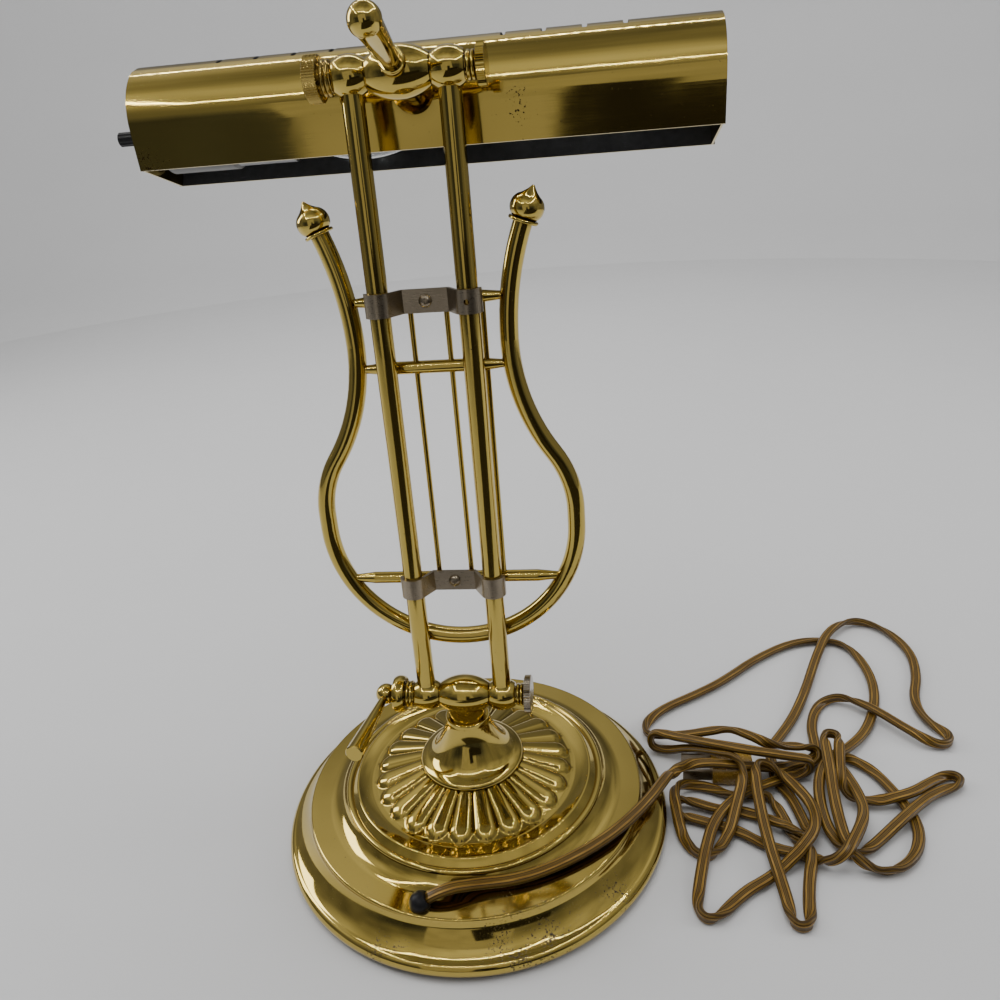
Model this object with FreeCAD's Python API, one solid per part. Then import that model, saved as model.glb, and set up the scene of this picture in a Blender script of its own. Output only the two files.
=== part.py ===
import FreeCAD, Part
import math
import os

# Brass piano lamp: a round weighted base, twin arms that carry a lyre, and a
# half-round shade that tips on the arms' upper pivot.
# Frame: +Z up, z = 0 is the table, the neck's axis is x = y = 0. The front,
# where the light falls on the keys, faces -Y. Millimetres and degrees.

V = FreeCAD.Vector
X_AXIS, Y_AXIS, Z_AXIS = V(1, 0, 0), V(0, 1, 0), V(0, 0, 1)
ORIGIN = V(0, 0, 0)

# ---------------------------------------------------------------- fits
RUN_FIT = 0.05          # radial clearance where a part turns on a shaft
SIDE_GAP = 0.2          # between the flat faces of parts that turn
DROP_IN = 0.1           # radial clearance of a part that drops over another

# ---------------------------------------------------------------- base
BASE_RADIUS = 101.6
RIM_LIFT = 0.4          # the metal rim stays clear of the table
RIM_BEAD = 4.0          # radius of the rolled rim
RIM_BEAD_END = 75.0     # how far round the bead goes, from level
WALL_RUN = 13.6         # rim to shoulder, across
WALL_SAG = 0.9          # hollow of the wall between rim and shoulder
SHOULDER_HEIGHT = 22.5
SHOULDER_STEP = 3.1
SHOULDER_ROUND = 1.2
SHELF_RUN = 10.0        # flat shelf inside the shoulder
COVE_RADIUS = 11.6
COVE_ANGLE = 57.0
STEP_RISE = 2.0         # bead above the cove
STEP_RUN = 3.2
CREST_RISE = 2.4
CREST_RUN = 3.6
CREST_ROUND = 0.8
DISH_RUN = 9.8          # crest to the petals
DISH_DROP = 1.9
SHELL_WALL = 1.2
SEAT_HEIGHT = 38.4      # the flat top that the neck stands on
PETAL_COUNT = 24
PETAL_SWELL = 2.9       # height of a petal above the shell at its outer end
PETAL_ROOT_SWELL = 1.3
PETAL_GAP = 0.5         # between neighbours
PETAL_FLAT = 1.8        # level ring outside the petals
FELT_THICKNESS = 2.2
FELT_MARGIN = 3.4       # rim to felt
WEIGHT_RADIUS = 70.0
WEIGHT_THICKNESS = 14.0
WEIGHT_HUB_RADIUS = 20.0
NIPPLE_RADIUS = 4.9
NIPPLE_BORE = 3.4
NIPPLE_GRIP = 6.0       # of its thread in the lower barrel
NUT_FLATS = 15.0
NUT_THICKNESS = 4.0
NUT_POCKET_RADIUS = 13.0
NUT_POCKET_DEPTH = 8.0
WASHER_RADIUS = 9.0
WASHER_THICKNESS = 1.0

# ---------------------------------------------------------------- neck
NECK_FOOT_RADIUS = 27.2
NECK_FOOT_EDGE = 2.4
NECK_TOP_RADIUS = 11.5
NECK_HEIGHT = 28.6
NECK_STRAIGHT = 3.5     # upright stretch above the trumpet's curve
NECK_WALL = 1.6
NECK_LAND = 0.9         # flat rim round the foot's top
NECK_ROUND = 0.7

# ---------------------------------------------------------------- pivots
BARREL_LENGTH = 25.2
BARREL_RADIUS = 10.1
BARREL_END_RADIUS = 6.0
BARREL_STUB_RADIUS = 9.4
PIVOT_RISE = 12.1       # neck top to the lower pivot axis
BOLT_RADIUS = 3.0
KNUCKLE_LENGTH = 13.2
KNUCKLE_RADIUS = 8.0
KNUCKLE_END_RADIUS = 5.8
COLLAR_LENGTH = 4.6     # turned beads between a knuckle and its disc
COLLAR_BEADS = 2
NUT_COLLAR_RADIUS = 6.8
NUT_GROOVE_RADIUS = 5.7
BOLT_COLLAR_RADIUS = 5.5
BOLT_GROOVE_RADIUS = 4.4
DISC_RADIUS = 9.6
DISC_LENGTH = 3.5
UPPER_DISC_RADIUS = 7.9
UPPER_DISC_LENGTH = 3.5
THUMB_RADIUS = 8.8
CLAMP_RADIUS = 9.5
NUT_LENGTH = 5.6
NUT_CROWN = 0.9         # round of a nut's rim
NUT_END_WALL = 1.2
KNURL_TEETH = 54
KNURL_DEPTH = 0.3
BALL_RADIUS = 5.3
BALL_REACH = 4.9        # nut face to ball centre
BALL_NECK_RADIUS = 3.2
LEVER_LENGTH = 48.0     # pivot axis to the end
LEVER_ROOT_RADIUS = 1.9
LEVER_END_RADIUS = 4.4
LEVER_SPLAY = 5.0       # leans away from the arms
LEVER_RISE = 3.0        # above level at rest
LEVER_BITE = 1.6        # of its root in the ball
LEVER_END_ROUND = 0.5

# ---------------------------------------------------------------- arms
ARM_LENGTH = 286.0      # pivot to pivot
ARM_SPACING = 38.8      # between the two tubes' axes
ARM_RADIUS = 4.6
ARM_WALL = 0.9
ARM_SOCKET = 5.0        # pivot axis to the end of the tube in its knuckle
ARM_LEAN = 3.2          # towards the front at rest

# ---------------------------------------------------------------- lyre
LYRE_TUBE_RADIUS = 4.2
LYRE_BOW_RADIUS = 60.3
LYRE_BOW_RISE = 29.7    # lower pivot to the bottom of the bow
LYRE_SIDE_RISE = 7.4    # straight run above the bow's widest point
LYRE_SHOULDER_RADIUS = 50.0
LYRE_SHOULDER_TURN = 35.0
LYRE_WAIST_RADIUS = 92.0
LYRE_HORN_RADIUS = 135.0
LYRE_HORN_TURN = 21.0
CROSSBAR_RADIUS = 2.9
CROSSBAR_END_RADIUS = 1.9
CROSSBAR_TAPER = 9.0
CROSSBAR_BITE = 1.8     # of a crossbar's end in the lyre's tube
LOW_BAR_RISE = 33.3     # bottom of the bow to each crossbar
MIDDLE_BAR_RISE = 138.6
TOP_BAR_RISE = 168.3
STRING_RADIUS = 1.25
STRING_SPACING = 16.0
STRING_COUNT = 4
FINIAL_RING_RADIUS = 6.5
FINIAL_RING_HEIGHT = 1.4
FINIAL_FOOT_RADIUS = 4.9
FINIAL_RADIUS = 7.3
FINIAL_BELLY_RISE = 4.6  # from the ring to the widest point
FINIAL_SHOULDER_RADIUS = 5.2
FINIAL_SHOULDER_RISE = 9.0
FINIAL_TIP_RADIUS = 0.5
FINIAL_HEIGHT = 13.6
FINIAL_UNDER_BOW = 0.7  # how far each stretch bows out
FINIAL_OVER_BOW = 0.55
FINIAL_HOLLOW = 0.4     # of the cone below the tip
STRAP_HEIGHT = 10.2
STRAP_THICKNESS = 1.5
STRAP_WRAP = 150.0      # how far round a tube the strap goes
STRAP_HOLE_RADIUS = 1.2
SCREW_HEAD_RADIUS = 2.8
SCREW_HEAD_HEIGHT = 1.7
SCREW_HEAD_EDGE = 0.6   # upright edge below its dome
SCREW_HEAD_BOW = 0.4
SCREW_SHANK_RADIUS = 1.2
SCREW_SLOT = 0.6

# ---------------------------------------------------------------- head
HEAD_PITCH = 15.85      # front of the head dips below level at rest
SHADE_LENGTH = 254.0
SHADE_RADIUS = 24.6
SHADE_WALL = 0.8
SHADE_DROP = 23.4       # centre of the round to the lips
SHADE_FLARE = 18.7      # skirts close in by this angle
SHADE_REACH = 49.65     # pivot axis to the centre of the round
SHADE_LIFT = 2.3        # centre of the round above the stem's axis
VENT_STRIP_ANGLE = 79.0
VENT_STRIP_DEPTH = 0.35
VENT_WIDTH = 2.2
VENT_REACH = 29.3       # length of a slot, across the top
VENT_SPACING = 17.0
VENT_FIRST = 37.0       # middle of the shade to the first slot
VENTS_PER_SIDE = 4
CAP_INSET = 0.8
CAP_THICKNESS = 0.9
CAP_FIT = 0.02
STEM_RADIUS = 4.6
STEM_BORE = 3.2
STEM_GRIP = 4.0         # of its thread in the barrel
STEM_SEAT_RADIUS = 6.4
STEM_SEAT_REACH = 11.0  # pivot axis to the face of the stem's boss
STEM_FLANGE_RADIUS = 8.6
STEM_FLANGE_THICKNESS = 2.0
STEM_WASHER_RADIUS = 8.0
STEM_WASHER_THICKNESS = 2.2 # in the middle of its saddle
STEM_NUT_FLATS = 14.0
STEM_NUT_THICKNESS = 3.0
STEM_PROUD = 1.0        # stem's end beyond its nut
HANDLE_TILT = 2.8       # above the stem's line
HANDLE_LENGTH = 46.5    # pivot axis to the widest point
HANDLE_ROOT_RADIUS = 3.6
HANDLE_END_RADIUS = 6.1
HANDLE_STEP = 0.5       # dome's edge beyond the shaft
HANDLE_RING_RADIUS = 5.2
HANDLE_RING_LENGTH = 3.0
HANDLE_RING_SWELL = 0.8
HANDLE_SEAT_REACH = 9.8 # pivot axis to the face that the ring bears on
HANDLE_GRIP = 3.6
HANDLE_STUD_RADIUS = 2.4
HANDLE_GROOVE = 0.4

# ---------------------------------------------------------------- lamp holder
HOLDER_DROP = 4.6       # its axis below the centre of the round
SWITCH_RADIUS = 16.6
SWITCH_LENGTH = 34.0
SWITCH_ROUND = 1.5
SWITCH_NECK_RADIUS = 8.0
SWITCH_NECK_LENGTH = 3.3
BUSHING_RADIUS = 5.0
RING_NUT_RADIUS = 6.6
RING_NUT_THICKNESS = 2.0
SKIRT_RADIUS = 15.4
SKIRT_LENGTH = 27.0
SKIRT_WALL = 1.0
SCREW_SHELL_WALL = 0.5
SCREW_SHELL_LENGTH = 22.0
SHAFT_RADIUS = 1.6
SHAFT_GRIP = 6.0        # of the shaft in the switch
SHAFT_PROUD = 10.0      # shaft's end beyond the ring nut
KNOB_RADIUS = 3.2
KNOB_GAP = 1.2          # ring nut to knob
KNOB_LENGTH = 15.5
KNOB_RIBS = 12
KNOB_RIB_DEPTH = 0.3
CONTACT_RADIUS = 4.0
CONTACT_HEIGHT = 1.5
BULB_BASE_RADIUS = 13.2
BULB_BASE_LENGTH = 24.0
BULB_BASE_CONE = 5.0
BULB_NECK_RADIUS = 12.4
BULB_NECK_CURVE = 25.0  # radius of the hollow between neck and belly
BULB_RADIUS = 17.0
BULB_BELLY_REACH = 34.0 # base's rim to the widest point
BULB_SWELL_RADIUS = 59.0
BULB_TIP_TURN = 25.0    # where the belly's curve passes into the round nose
BULB_WALL = 0.7
MOUNT_RADIUS = 4.2      # glass stem that holds the filament
MOUNT_LENGTH = 24.0
WIRE_RADIUS = 0.4
FILAMENT_RISE = 9.0     # stem's end to the filament
FILAMENT_SPAN = 14.0
LEAD_RADIUS = 1.9       # pair of wires from the stem to the switch

# ---------------------------------------------------------------- cord
CORD_RADIUS = 2.4       # round of the same area as the flat twin cord
EXIT_RADIUS = 80.9      # neck's axis to the bushing
EXIT_ANGLE = 79.5       # round from +X
EXIT_DIRECTION = V(-0.84, -0.20, 0.50)
DOME_RADIUS = 5.2
DOME_RISE = 0.7         # dome's centre above the shelf
DOME_FACE = 3.9         # dome's centre to the face that the cord leaves
BUSHING_STEM_RADIUS = 4.2
BUSHING_STEM_LENGTH = 4.0
EXIT_RUN = 8.5          # straight out of the dome
HANK_HEIGHT = 16.0
HANK_GAP = 0.4          # base's rim to the hank
PLUG_LENGTH = 22.0
PLUG_WIDTH = 18.0
PLUG_HEIGHT = 12.0
PLUG_ROUND = 3.0
PLUG_ACROSS = -139.0    # plug's centre, from the neck's axis
PLUG_FORWARD = -29.0
BLADE_LENGTH = 15.9
BLADE_WIDTH = 6.35
BLADE_THICKNESS = 1.5
BLADE_SPACING = 12.7

# ---------------------------------------------------------------- places that follow
shoulder_radius = BASE_RADIUS - WALL_RUN
shelf_radius = shoulder_radius - SHELF_RUN
cove_run = COVE_RADIUS * math.sin(math.radians(COVE_ANGLE))
cove_rise = COVE_RADIUS * (1 - math.cos(math.radians(COVE_ANGLE)))
step_radius = shelf_radius - cove_run
step_height = SHOULDER_HEIGHT + cove_rise
crest_radius = step_radius - STEP_RUN - CREST_RUN
crest_height = step_height + STEP_RISE + CREST_RISE
petal_radius = crest_radius - DISH_RUN
petal_height = crest_height - DISH_DROP
neck_top = SEAT_HEIGHT + NECK_HEIGHT
pivot_height = neck_top + PIVOT_RISE
lower_pivot = V(0, 0, pivot_height)
upper_pivot = V(0, -ARM_LENGTH * math.sin(math.radians(ARM_LEAN)),
                pivot_height + ARM_LENGTH * math.cos(math.radians(ARM_LEAN)))
knuckle_start = BARREL_LENGTH / 2 + SIDE_GAP
knuckle_end = knuckle_start + KNUCKLE_LENGTH
collar_start = knuckle_end + SIDE_GAP
disc_start = collar_start + COLLAR_LENGTH
nut_end = disc_start + NUT_LENGTH
lyre_plane = -(ARM_RADIUS + LYRE_TUBE_RADIUS)
low_bar = LYRE_BOW_RISE + LOW_BAR_RISE
middle_bar = LYRE_BOW_RISE + MIDDLE_BAR_RISE
top_bar = LYRE_BOW_RISE + TOP_BAR_RISE
strap_face = lyre_plane + CROSSBAR_RADIUS + STRAP_THICKNESS
holder_axis = V(0, -SHADE_REACH, SHADE_LIFT - HOLDER_DROP)
cap_face = SHADE_LENGTH / 2 - CAP_INSET
switch_back = cap_face - CAP_THICKNESS - SWITCH_NECK_LENGTH
switch_front = switch_back - SWITCH_LENGTH
contact_face = switch_front - CONTACT_HEIGHT
ring_nut_end = cap_face + RING_NUT_THICKNESS
stem_outside = -(SHADE_REACH - SHADE_RADIUS)
stem_nut_face = stem_outside - SHADE_WALL - STEM_WASHER_THICKNESS
stem_end = stem_nut_face - STEM_NUT_THICKNESS - STEM_PROUD
plug_centre = V(PLUG_ACROSS, PLUG_FORWARD, PLUG_HEIGHT / 2)
blade_centre = plug_centre + X_AXIS * (PLUG_LENGTH + BLADE_LENGTH) / 2


# ================================================================ helpers
def outline(start, *steps):
    """Closed face in the XZ plane. A step is a point, or (middle, end) for an arc."""
    first = here = V(start[0], 0, start[1])
    edges = []
    for step in steps:
        if isinstance(step[0], tuple):
            middle, end = [V(spot[0], 0, spot[1]) for spot in step]
            edges.append(Part.Arc(here, middle, end).toShape())
        else:
            end = V(step[0], 0, step[1])
            edges.append(Part.LineSegment(here, end).toShape())
        here = end
    if here.distanceToPoint(first) > 1e-6:
        edges.append(Part.LineSegment(here, first).toShape())
    return Part.Face(Part.Wire(edges))


def turn_z(start, *steps):
    """Turned about the Z axis from (radius, height) points."""
    return outline(start, *steps).revolve(ORIGIN, Z_AXIS, 360)


def turn_x(start, *steps):
    """Turned about the X axis from (along, radius) points."""
    return outline(start, *steps).revolve(ORIGIN, X_AXIS, 360)


def rod(start, end, radius):
    return Part.makeCylinder(radius, start.distanceToPoint(end), start, end - start)


def tube(start, end, outer, inner):
    return rod(start, end, outer).cut(rod(start, end, inner))


def polar(centre, radius, angle):
    """A point on a circle, as (across, up), with the angle from across to up."""
    turn = math.radians(angle)
    return (centre[0] + radius * math.cos(turn), centre[1] + radius * math.sin(turn))


def bowed(start, end, bow):
    """Arc step of an outline, bowed out to the right of its way by a height; a minus sign hollows it."""
    run, rise = end[0] - start[0], end[1] - start[1]
    share = bow / math.hypot(run, rise)
    return ((start[0] + end[0]) / 2 + rise * share, (start[1] + end[1]) / 2 - run * share), end


def box(size_x, size_y, size_z, centre=ORIGIN):
    return Part.makeBox(size_x, size_y, size_z, centre - V(size_x, size_y, size_z) / 2)


def hex_nut(flats, thickness, bore):
    """Hexagon nut along +Z from z = 0."""
    rim = [V(*polar((0, 0), flats / math.sqrt(3), 60 * n), 0) for n in range(7)]
    body = Part.Face(Part.makePolygon(rim)).extrude(V(0, 0, thickness))
    return body.cut(Part.makeCylinder(bore, thickness))


def aim(shape, spot, direction):
    """A shape built along +Z from the origin, moved to a spot and turned to a direction."""
    moved = shape.copy()
    turn = FreeCAD.Placement(spot, FreeCAD.Rotation(Z_AXIS, direction))
    moved.Placement = turn.multiply(moved.Placement)
    return moved


def capsule(start, start_radius, end, end_radius):
    """Two spheres and the cone that touches both."""
    length = start.distanceToPoint(end)
    lean = math.degrees(math.asin((end_radius - start_radius) / length))
    solid = turn_z((0, -start_radius),
                   (polar((0, 0), start_radius, -45 - lean / 2), polar((0, 0), start_radius, -lean)),
                   polar((0, length), end_radius, -lean),
                   (polar((0, length), end_radius, 45 - lean / 2), (0, length + end_radius)))
    return aim(solid, start, end - start)


def knurled(start, end, radius, teeth, depth):
    """Disc along X with a toothed rim and chamfered edges."""
    rim = []
    for n in range(2 * teeth + 1):
        across, up = polar((0, 0), radius - depth * (n % 2), 180.0 * n / teeth)
        rim.append(V(start, across, up))
    toothed = Part.Face(Part.makePolygon(rim)).extrude(V(end - start, 0, 0))
    edge = radius - 1.6 * depth
    crowned = turn_x((start, 0), (start, edge), (start + depth, radius), (end - depth, radius),
                     (end, edge), (end, 0))
    return toothed.common(crowned)


def placed(shape, turn, spot):
    """A shape built about the origin, turned about X and moved to a spot."""
    moved = shape.copy()
    moved.rotate(ORIGIN, X_AXIS, turn)
    moved.translate(spot)
    return moved


def on_arm(shape):
    """From the arm's own frame: the lower pivot at the origin and +Z up the arm."""
    return placed(shape, ARM_LEAN, lower_pivot)


def on_head(shape):
    """From the head's own frame: the upper pivot at the origin and -Y along the stem."""
    return placed(shape, HEAD_PITCH, upper_pivot)


# ================================================================ base
def shell_outside():
    bead_centre = (BASE_RADIUS - RIM_BEAD, RIM_LIFT + RIM_BEAD)
    bead_end = polar(bead_centre, RIM_BEAD, RIM_BEAD_END)
    wall_top = (shoulder_radius, SHOULDER_HEIGHT - SHOULDER_STEP)
    wall_middle = ((bead_end[0] + wall_top[0]) / 2 - WALL_SAG, (bead_end[1] + wall_top[1]) / 2 - WALL_SAG)
    shoulder_centre = (shoulder_radius - SHOULDER_ROUND, SHOULDER_HEIGHT - SHOULDER_ROUND)
    cove_centre = (shelf_radius, SHOULDER_HEIGHT + COVE_RADIUS)
    groove = (step_radius - STEP_RUN, step_height + STEP_RISE - SHELL_WALL / 2)
    crest_start = (crest_radius + CREST_ROUND, crest_height - CREST_ROUND / 2)
    crest_end = (crest_radius - CREST_ROUND, crest_height - CREST_ROUND / 2)
    return turn_z(
        (0, RIM_LIFT), (bead_centre[0], RIM_LIFT),
        (polar(bead_centre, RIM_BEAD, (RIM_BEAD_END - 90) / 2), bead_end),
        (wall_middle, wall_top),
        (shoulder_radius, shoulder_centre[1]),
        (polar(shoulder_centre, SHOULDER_ROUND, 45), (shoulder_centre[0], SHOULDER_HEIGHT)),
        (shelf_radius, SHOULDER_HEIGHT),
        (polar(cove_centre, COVE_RADIUS, 270 - COVE_ANGLE / 2), (step_radius, step_height)),
        ((step_radius - STEP_RUN / 3, step_height + STEP_RISE), groove),
        crest_start,
        ((crest_radius, crest_height), crest_end),
        (petal_radius + PETAL_FLAT, petal_height), (petal_radius, petal_height),
        (NECK_FOOT_RADIUS, SEAT_HEIGHT), (0, SEAT_HEIGHT))


def shell_inside():
    """The hollow, a little simpler than the outside and one wall below it."""
    wall = SHELL_WALL
    return turn_z(
        (0, -wall), (BASE_RADIUS - wall - RIM_BEAD / 4, -wall),
        (BASE_RADIUS - wall - RIM_BEAD / 4, RIM_LIFT + RIM_BEAD),
        (shoulder_radius - wall, SHOULDER_HEIGHT - SHOULDER_STEP - wall),
        (shoulder_radius - wall, SHOULDER_HEIGHT - wall),
        (shelf_radius - wall / 2, SHOULDER_HEIGHT - wall),
        (shelf_radius - 0.6 * cove_run - wall / 2, SHOULDER_HEIGHT + 0.2 * cove_rise - wall),
        (step_radius - 1.5 * wall, step_height - 1.2 * wall),
        (crest_radius - wall / 2, crest_height - 1.5 * wall),
        (petal_radius, petal_height - 1.5 * wall),
        (NECK_FOOT_RADIUS - wall, SEAT_HEIGHT - wall), (0, SEAT_HEIGHT - wall))


def petal():
    """One raised petal, along +X: a round-ended pod sunk into the shell's cone."""
    slope = math.atan2(SEAT_HEIGHT - petal_height, petal_radius - NECK_FOOT_RADIUS)
    normal = V(math.sin(slope), 0, math.cos(slope))
    share = math.pi / PETAL_COUNT
    end_width = (share * petal_radius - PETAL_GAP / 2) / (1 + share)
    root_width = share * NECK_FOOT_RADIUS - PETAL_GAP / 3
    spheres = []
    for radius, width, swell in ((NECK_FOOT_RADIUS, root_width, PETAL_ROOT_SWELL),
                                 (petal_radius - end_width, end_width, PETAL_SWELL)):
        surface = V(radius, 0, petal_height + (petal_radius - radius) * math.tan(slope))
        ball = (width ** 2 + swell ** 2) / (2 * swell)
        spheres.append((surface - normal * (ball - swell), ball))
    return capsule(spheres[0][0], spheres[0][1], spheres[1][0], spheres[1][1])


def make_base_shell():
    first = petal()
    petals = []
    for n in range(PETAL_COUNT):
        copy = first.copy()
        copy.rotate(ORIGIN, Z_AXIS, 360.0 * n / PETAL_COUNT)
        petals.append(copy)
    embossed = shell_outside().multiFuse(petals)
    neck_seat = Part.makeCylinder(NECK_FOOT_RADIUS + DROP_IN, PETAL_SWELL * 4, V(0, 0, SEAT_HEIGHT))
    nipple_hole = Part.makeCylinder(NIPPLE_RADIUS + DROP_IN, SEAT_HEIGHT)
    shell = embossed.cut(neck_seat).cut(shell_inside()).cut(nipple_hole)
    return shell.cut(rod(exit_spot - Z_AXIS * SHOULDER_HEIGHT / 2, exit_spot + Z_AXIS * DOME_RADIUS,
                         BUSHING_STEM_RADIUS))


def make_base_weight():
    pocket = FELT_THICKNESS + NUT_POCKET_DEPTH
    top = FELT_THICKNESS + WEIGHT_THICKNESS
    bore = NIPPLE_RADIUS + DROP_IN
    return turn_z((NUT_POCKET_RADIUS, FELT_THICKNESS), (WEIGHT_RADIUS, FELT_THICKNESS),
                  (WEIGHT_RADIUS, top - 3), (WEIGHT_RADIUS - 3, top),
                  (WEIGHT_HUB_RADIUS + 3, top), (WEIGHT_HUB_RADIUS, top + 3),
                  (WEIGHT_HUB_RADIUS, SEAT_HEIGHT - SHELL_WALL), (bore, SEAT_HEIGHT - SHELL_WALL),
                  (bore, pocket), (NUT_POCKET_RADIUS, pocket))


def make_base_felt():
    return Part.makeCylinder(BASE_RADIUS - FELT_MARGIN, FELT_THICKNESS)


def make_base_washer():
    foot = FELT_THICKNESS + NUT_POCKET_DEPTH - WASHER_THICKNESS
    return tube(V(0, 0, foot), V(0, 0, foot + WASHER_THICKNESS), WASHER_RADIUS, NIPPLE_RADIUS + DROP_IN)


def make_base_nut():
    nut = hex_nut(NUT_FLATS, NUT_THICKNESS, NIPPLE_RADIUS)
    nut.translate(V(0, 0, FELT_THICKNESS + NUT_POCKET_DEPTH - WASHER_THICKNESS - NUT_THICKNESS))
    return nut


def make_nipple():
    foot = FELT_THICKNESS + NUT_POCKET_DEPTH - WASHER_THICKNESS - NUT_THICKNESS - 1
    return tube(V(0, 0, foot), V(0, 0, neck_top + NIPPLE_GRIP), NIPPLE_RADIUS, NIPPLE_BORE)


def neck_curve(offset):
    """Trumpet curve from its top to the foot, set in by an offset, as (start, middle, end)."""
    foot = SEAT_HEIGHT + NECK_FOOT_EDGE
    across = NECK_FOOT_RADIUS - NECK_LAND - NECK_TOP_RADIUS
    rise = neck_top - NECK_STRAIGHT - foot
    radius = (across ** 2 + rise ** 2) / (2 * across)
    centre = (NECK_TOP_RADIUS + radius, foot + rise)
    turn = math.degrees(math.asin((rise + offset) / (radius + offset)))
    return [polar(centre, radius + offset, 180 + share * turn) for share in (0, 0.5, 1)]


def make_neck():
    foot = SEAT_HEIGHT + NECK_FOOT_EDGE
    soft = NECK_ROUND
    top, middle, end = neck_curve(0)
    foot_edge = (NECK_FOOT_RADIUS - soft, foot - soft)
    top_edge = (NECK_TOP_RADIUS - soft, neck_top - soft)
    outer = turn_z((0, SEAT_HEIGHT), (NECK_FOOT_RADIUS, SEAT_HEIGHT), (NECK_FOOT_RADIUS, foot - soft),
                   (polar(foot_edge, soft, 45), (foot_edge[0], foot)), end, (middle, top),
                   (NECK_TOP_RADIUS, top_edge[1]), (polar(top_edge, soft, 45), (top_edge[0], neck_top)),
                   (0, neck_top))
    top, middle, end = neck_curve(NECK_WALL)
    under = SEAT_HEIGHT - NECK_WALL
    inner = turn_z((0, under), (end[0], under), end, (middle, top),
                   (top[0], neck_top - NECK_WALL), (0, neck_top - NECK_WALL))
    return outer.cut(inner).cut(Part.makeCylinder(NIPPLE_RADIUS + DROP_IN, 2 * neck_top))


# ================================================================ pivots
def barrel_body():
    half = BARREL_LENGTH / 2
    body = turn_x((-half, 0), (-half, BARREL_END_RADIUS), ((0, BARREL_RADIUS), (half, BARREL_END_RADIUS)),
                  (half, 0))
    return body


def bolt_hole():
    return rod(V(-nut_end, 0, 0), V(nut_end, 0, 0), BOLT_RADIUS + RUN_FIT)


def make_lower_barrel():
    stub = rod(V(0, 0, -PIVOT_RISE), ORIGIN, BARREL_STUB_RADIUS)
    thread = rod(V(0, 0, -PIVOT_RISE), V(0, 0, NIPPLE_GRIP - PIVOT_RISE), NIPPLE_RADIUS)
    return placed(barrel_body().fuse(stub).cut(thread).cut(bolt_hole()), 0, lower_pivot)


def make_upper_barrel():
    seat = rod(V(0, -BARREL_RADIUS / 2, 0), V(0, -STEM_SEAT_REACH, 0), STEM_SEAT_RADIUS)
    thread = rod(V(0, STEM_GRIP - STEM_SEAT_REACH, 0), V(0, -STEM_SEAT_REACH, 0), STEM_RADIUS)
    along = handle_direction()
    boss = rod(along * BARREL_RADIUS / 2, along * HANDLE_SEAT_REACH, HANDLE_RING_RADIUS)
    spot_face = rod(along * HANDLE_SEAT_REACH, along * (HANDLE_SEAT_REACH + BARREL_RADIUS),
                    HANDLE_RING_RADIUS + DROP_IN)
    stud = rod(along * (HANDLE_SEAT_REACH - HANDLE_GRIP), along * HANDLE_SEAT_REACH, HANDLE_STUD_RADIUS)
    body = barrel_body().multiFuse([seat, boss])
    return on_head(body.cut([thread, spot_face, stud, bolt_hole()]))


def knuckle(side, height, tube_from):
    """Barrel-shaped lug on one arm tube; tube_from is +1 where the tube leaves upwards."""
    centre = side * (knuckle_start + KNUCKLE_LENGTH / 2)
    half = KNUCKLE_LENGTH / 2
    body = turn_x((centre - half, 0), (centre - half, KNUCKLE_END_RADIUS),
                  ((centre, KNUCKLE_RADIUS), (centre + half, KNUCKLE_END_RADIUS)), (centre + half, 0))
    body = body.cut(bolt_hole())
    socket = rod(V(side * ARM_SPACING / 2, 0, tube_from * ARM_SOCKET),
                 V(side * ARM_SPACING / 2, 0, tube_from * 2 * KNUCKLE_RADIUS), ARM_RADIUS)
    body = body.cut(socket)
    body.translate(V(0, 0, height))
    return on_arm(body)


def collar(radius, groove):
    """Turned beads between a knuckle and a disc, as profile points from the axis outwards."""
    pitch = COLLAR_LENGTH / (COLLAR_BEADS + 0.5)
    points = [(collar_start, 0), (collar_start, groove)]
    for n in range(COLLAR_BEADS):
        start = collar_start + (n + 0.25) * pitch
        points.append((start, groove))
        points.append(((start + pitch / 2, radius), (start + 0.9 * pitch, groove)))
    return points + [(disc_start, groove)]


def bolt(disc_radius, disc_length):
    """Pivot bolt: its beads and knurled head at -X, its thread end in the nut at +X."""
    head = turn_x(*collar(BOLT_COLLAR_RADIUS, BOLT_GROOVE_RADIUS), (disc_start, 0))
    head = head.fuse(knurled(disc_start, disc_start + disc_length, disc_radius, KNURL_TEETH, KNURL_DEPTH))
    head.rotate(ORIGIN, Z_AXIS, 180)
    shaft = rod(V(-disc_start, 0, 0), V(nut_end - NUT_END_WALL - SIDE_GAP, 0, 0), BOLT_RADIUS)
    return head.fuse(shaft)


def nut_bore():
    return rod(V(collar_start, 0, 0), V(nut_end - NUT_END_WALL, 0, 0), BOLT_RADIUS + RUN_FIT)


def make_clamp_nut():
    """Lower nut: beads, a crowned disc and the ball that carries the lever."""
    ball_centre = nut_end + BALL_REACH
    ball_start = ball_centre - math.sqrt(BALL_RADIUS ** 2 - BALL_NECK_RADIUS ** 2)
    rim = CLAMP_RADIUS - NUT_CROWN
    body = turn_x(*collar(NUT_COLLAR_RADIUS, NUT_GROOVE_RADIUS), (disc_start, rim),
                  ((disc_start + NUT_LENGTH / 2, CLAMP_RADIUS), (nut_end, rim)),
                  (nut_end, BALL_NECK_RADIUS), (ball_start, BALL_NECK_RADIUS),
                  ((ball_centre, BALL_RADIUS), (ball_centre + BALL_RADIUS, 0)))
    return placed(body.cut(nut_bore()).cut(lever_rod()), 0, lower_pivot)


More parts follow.
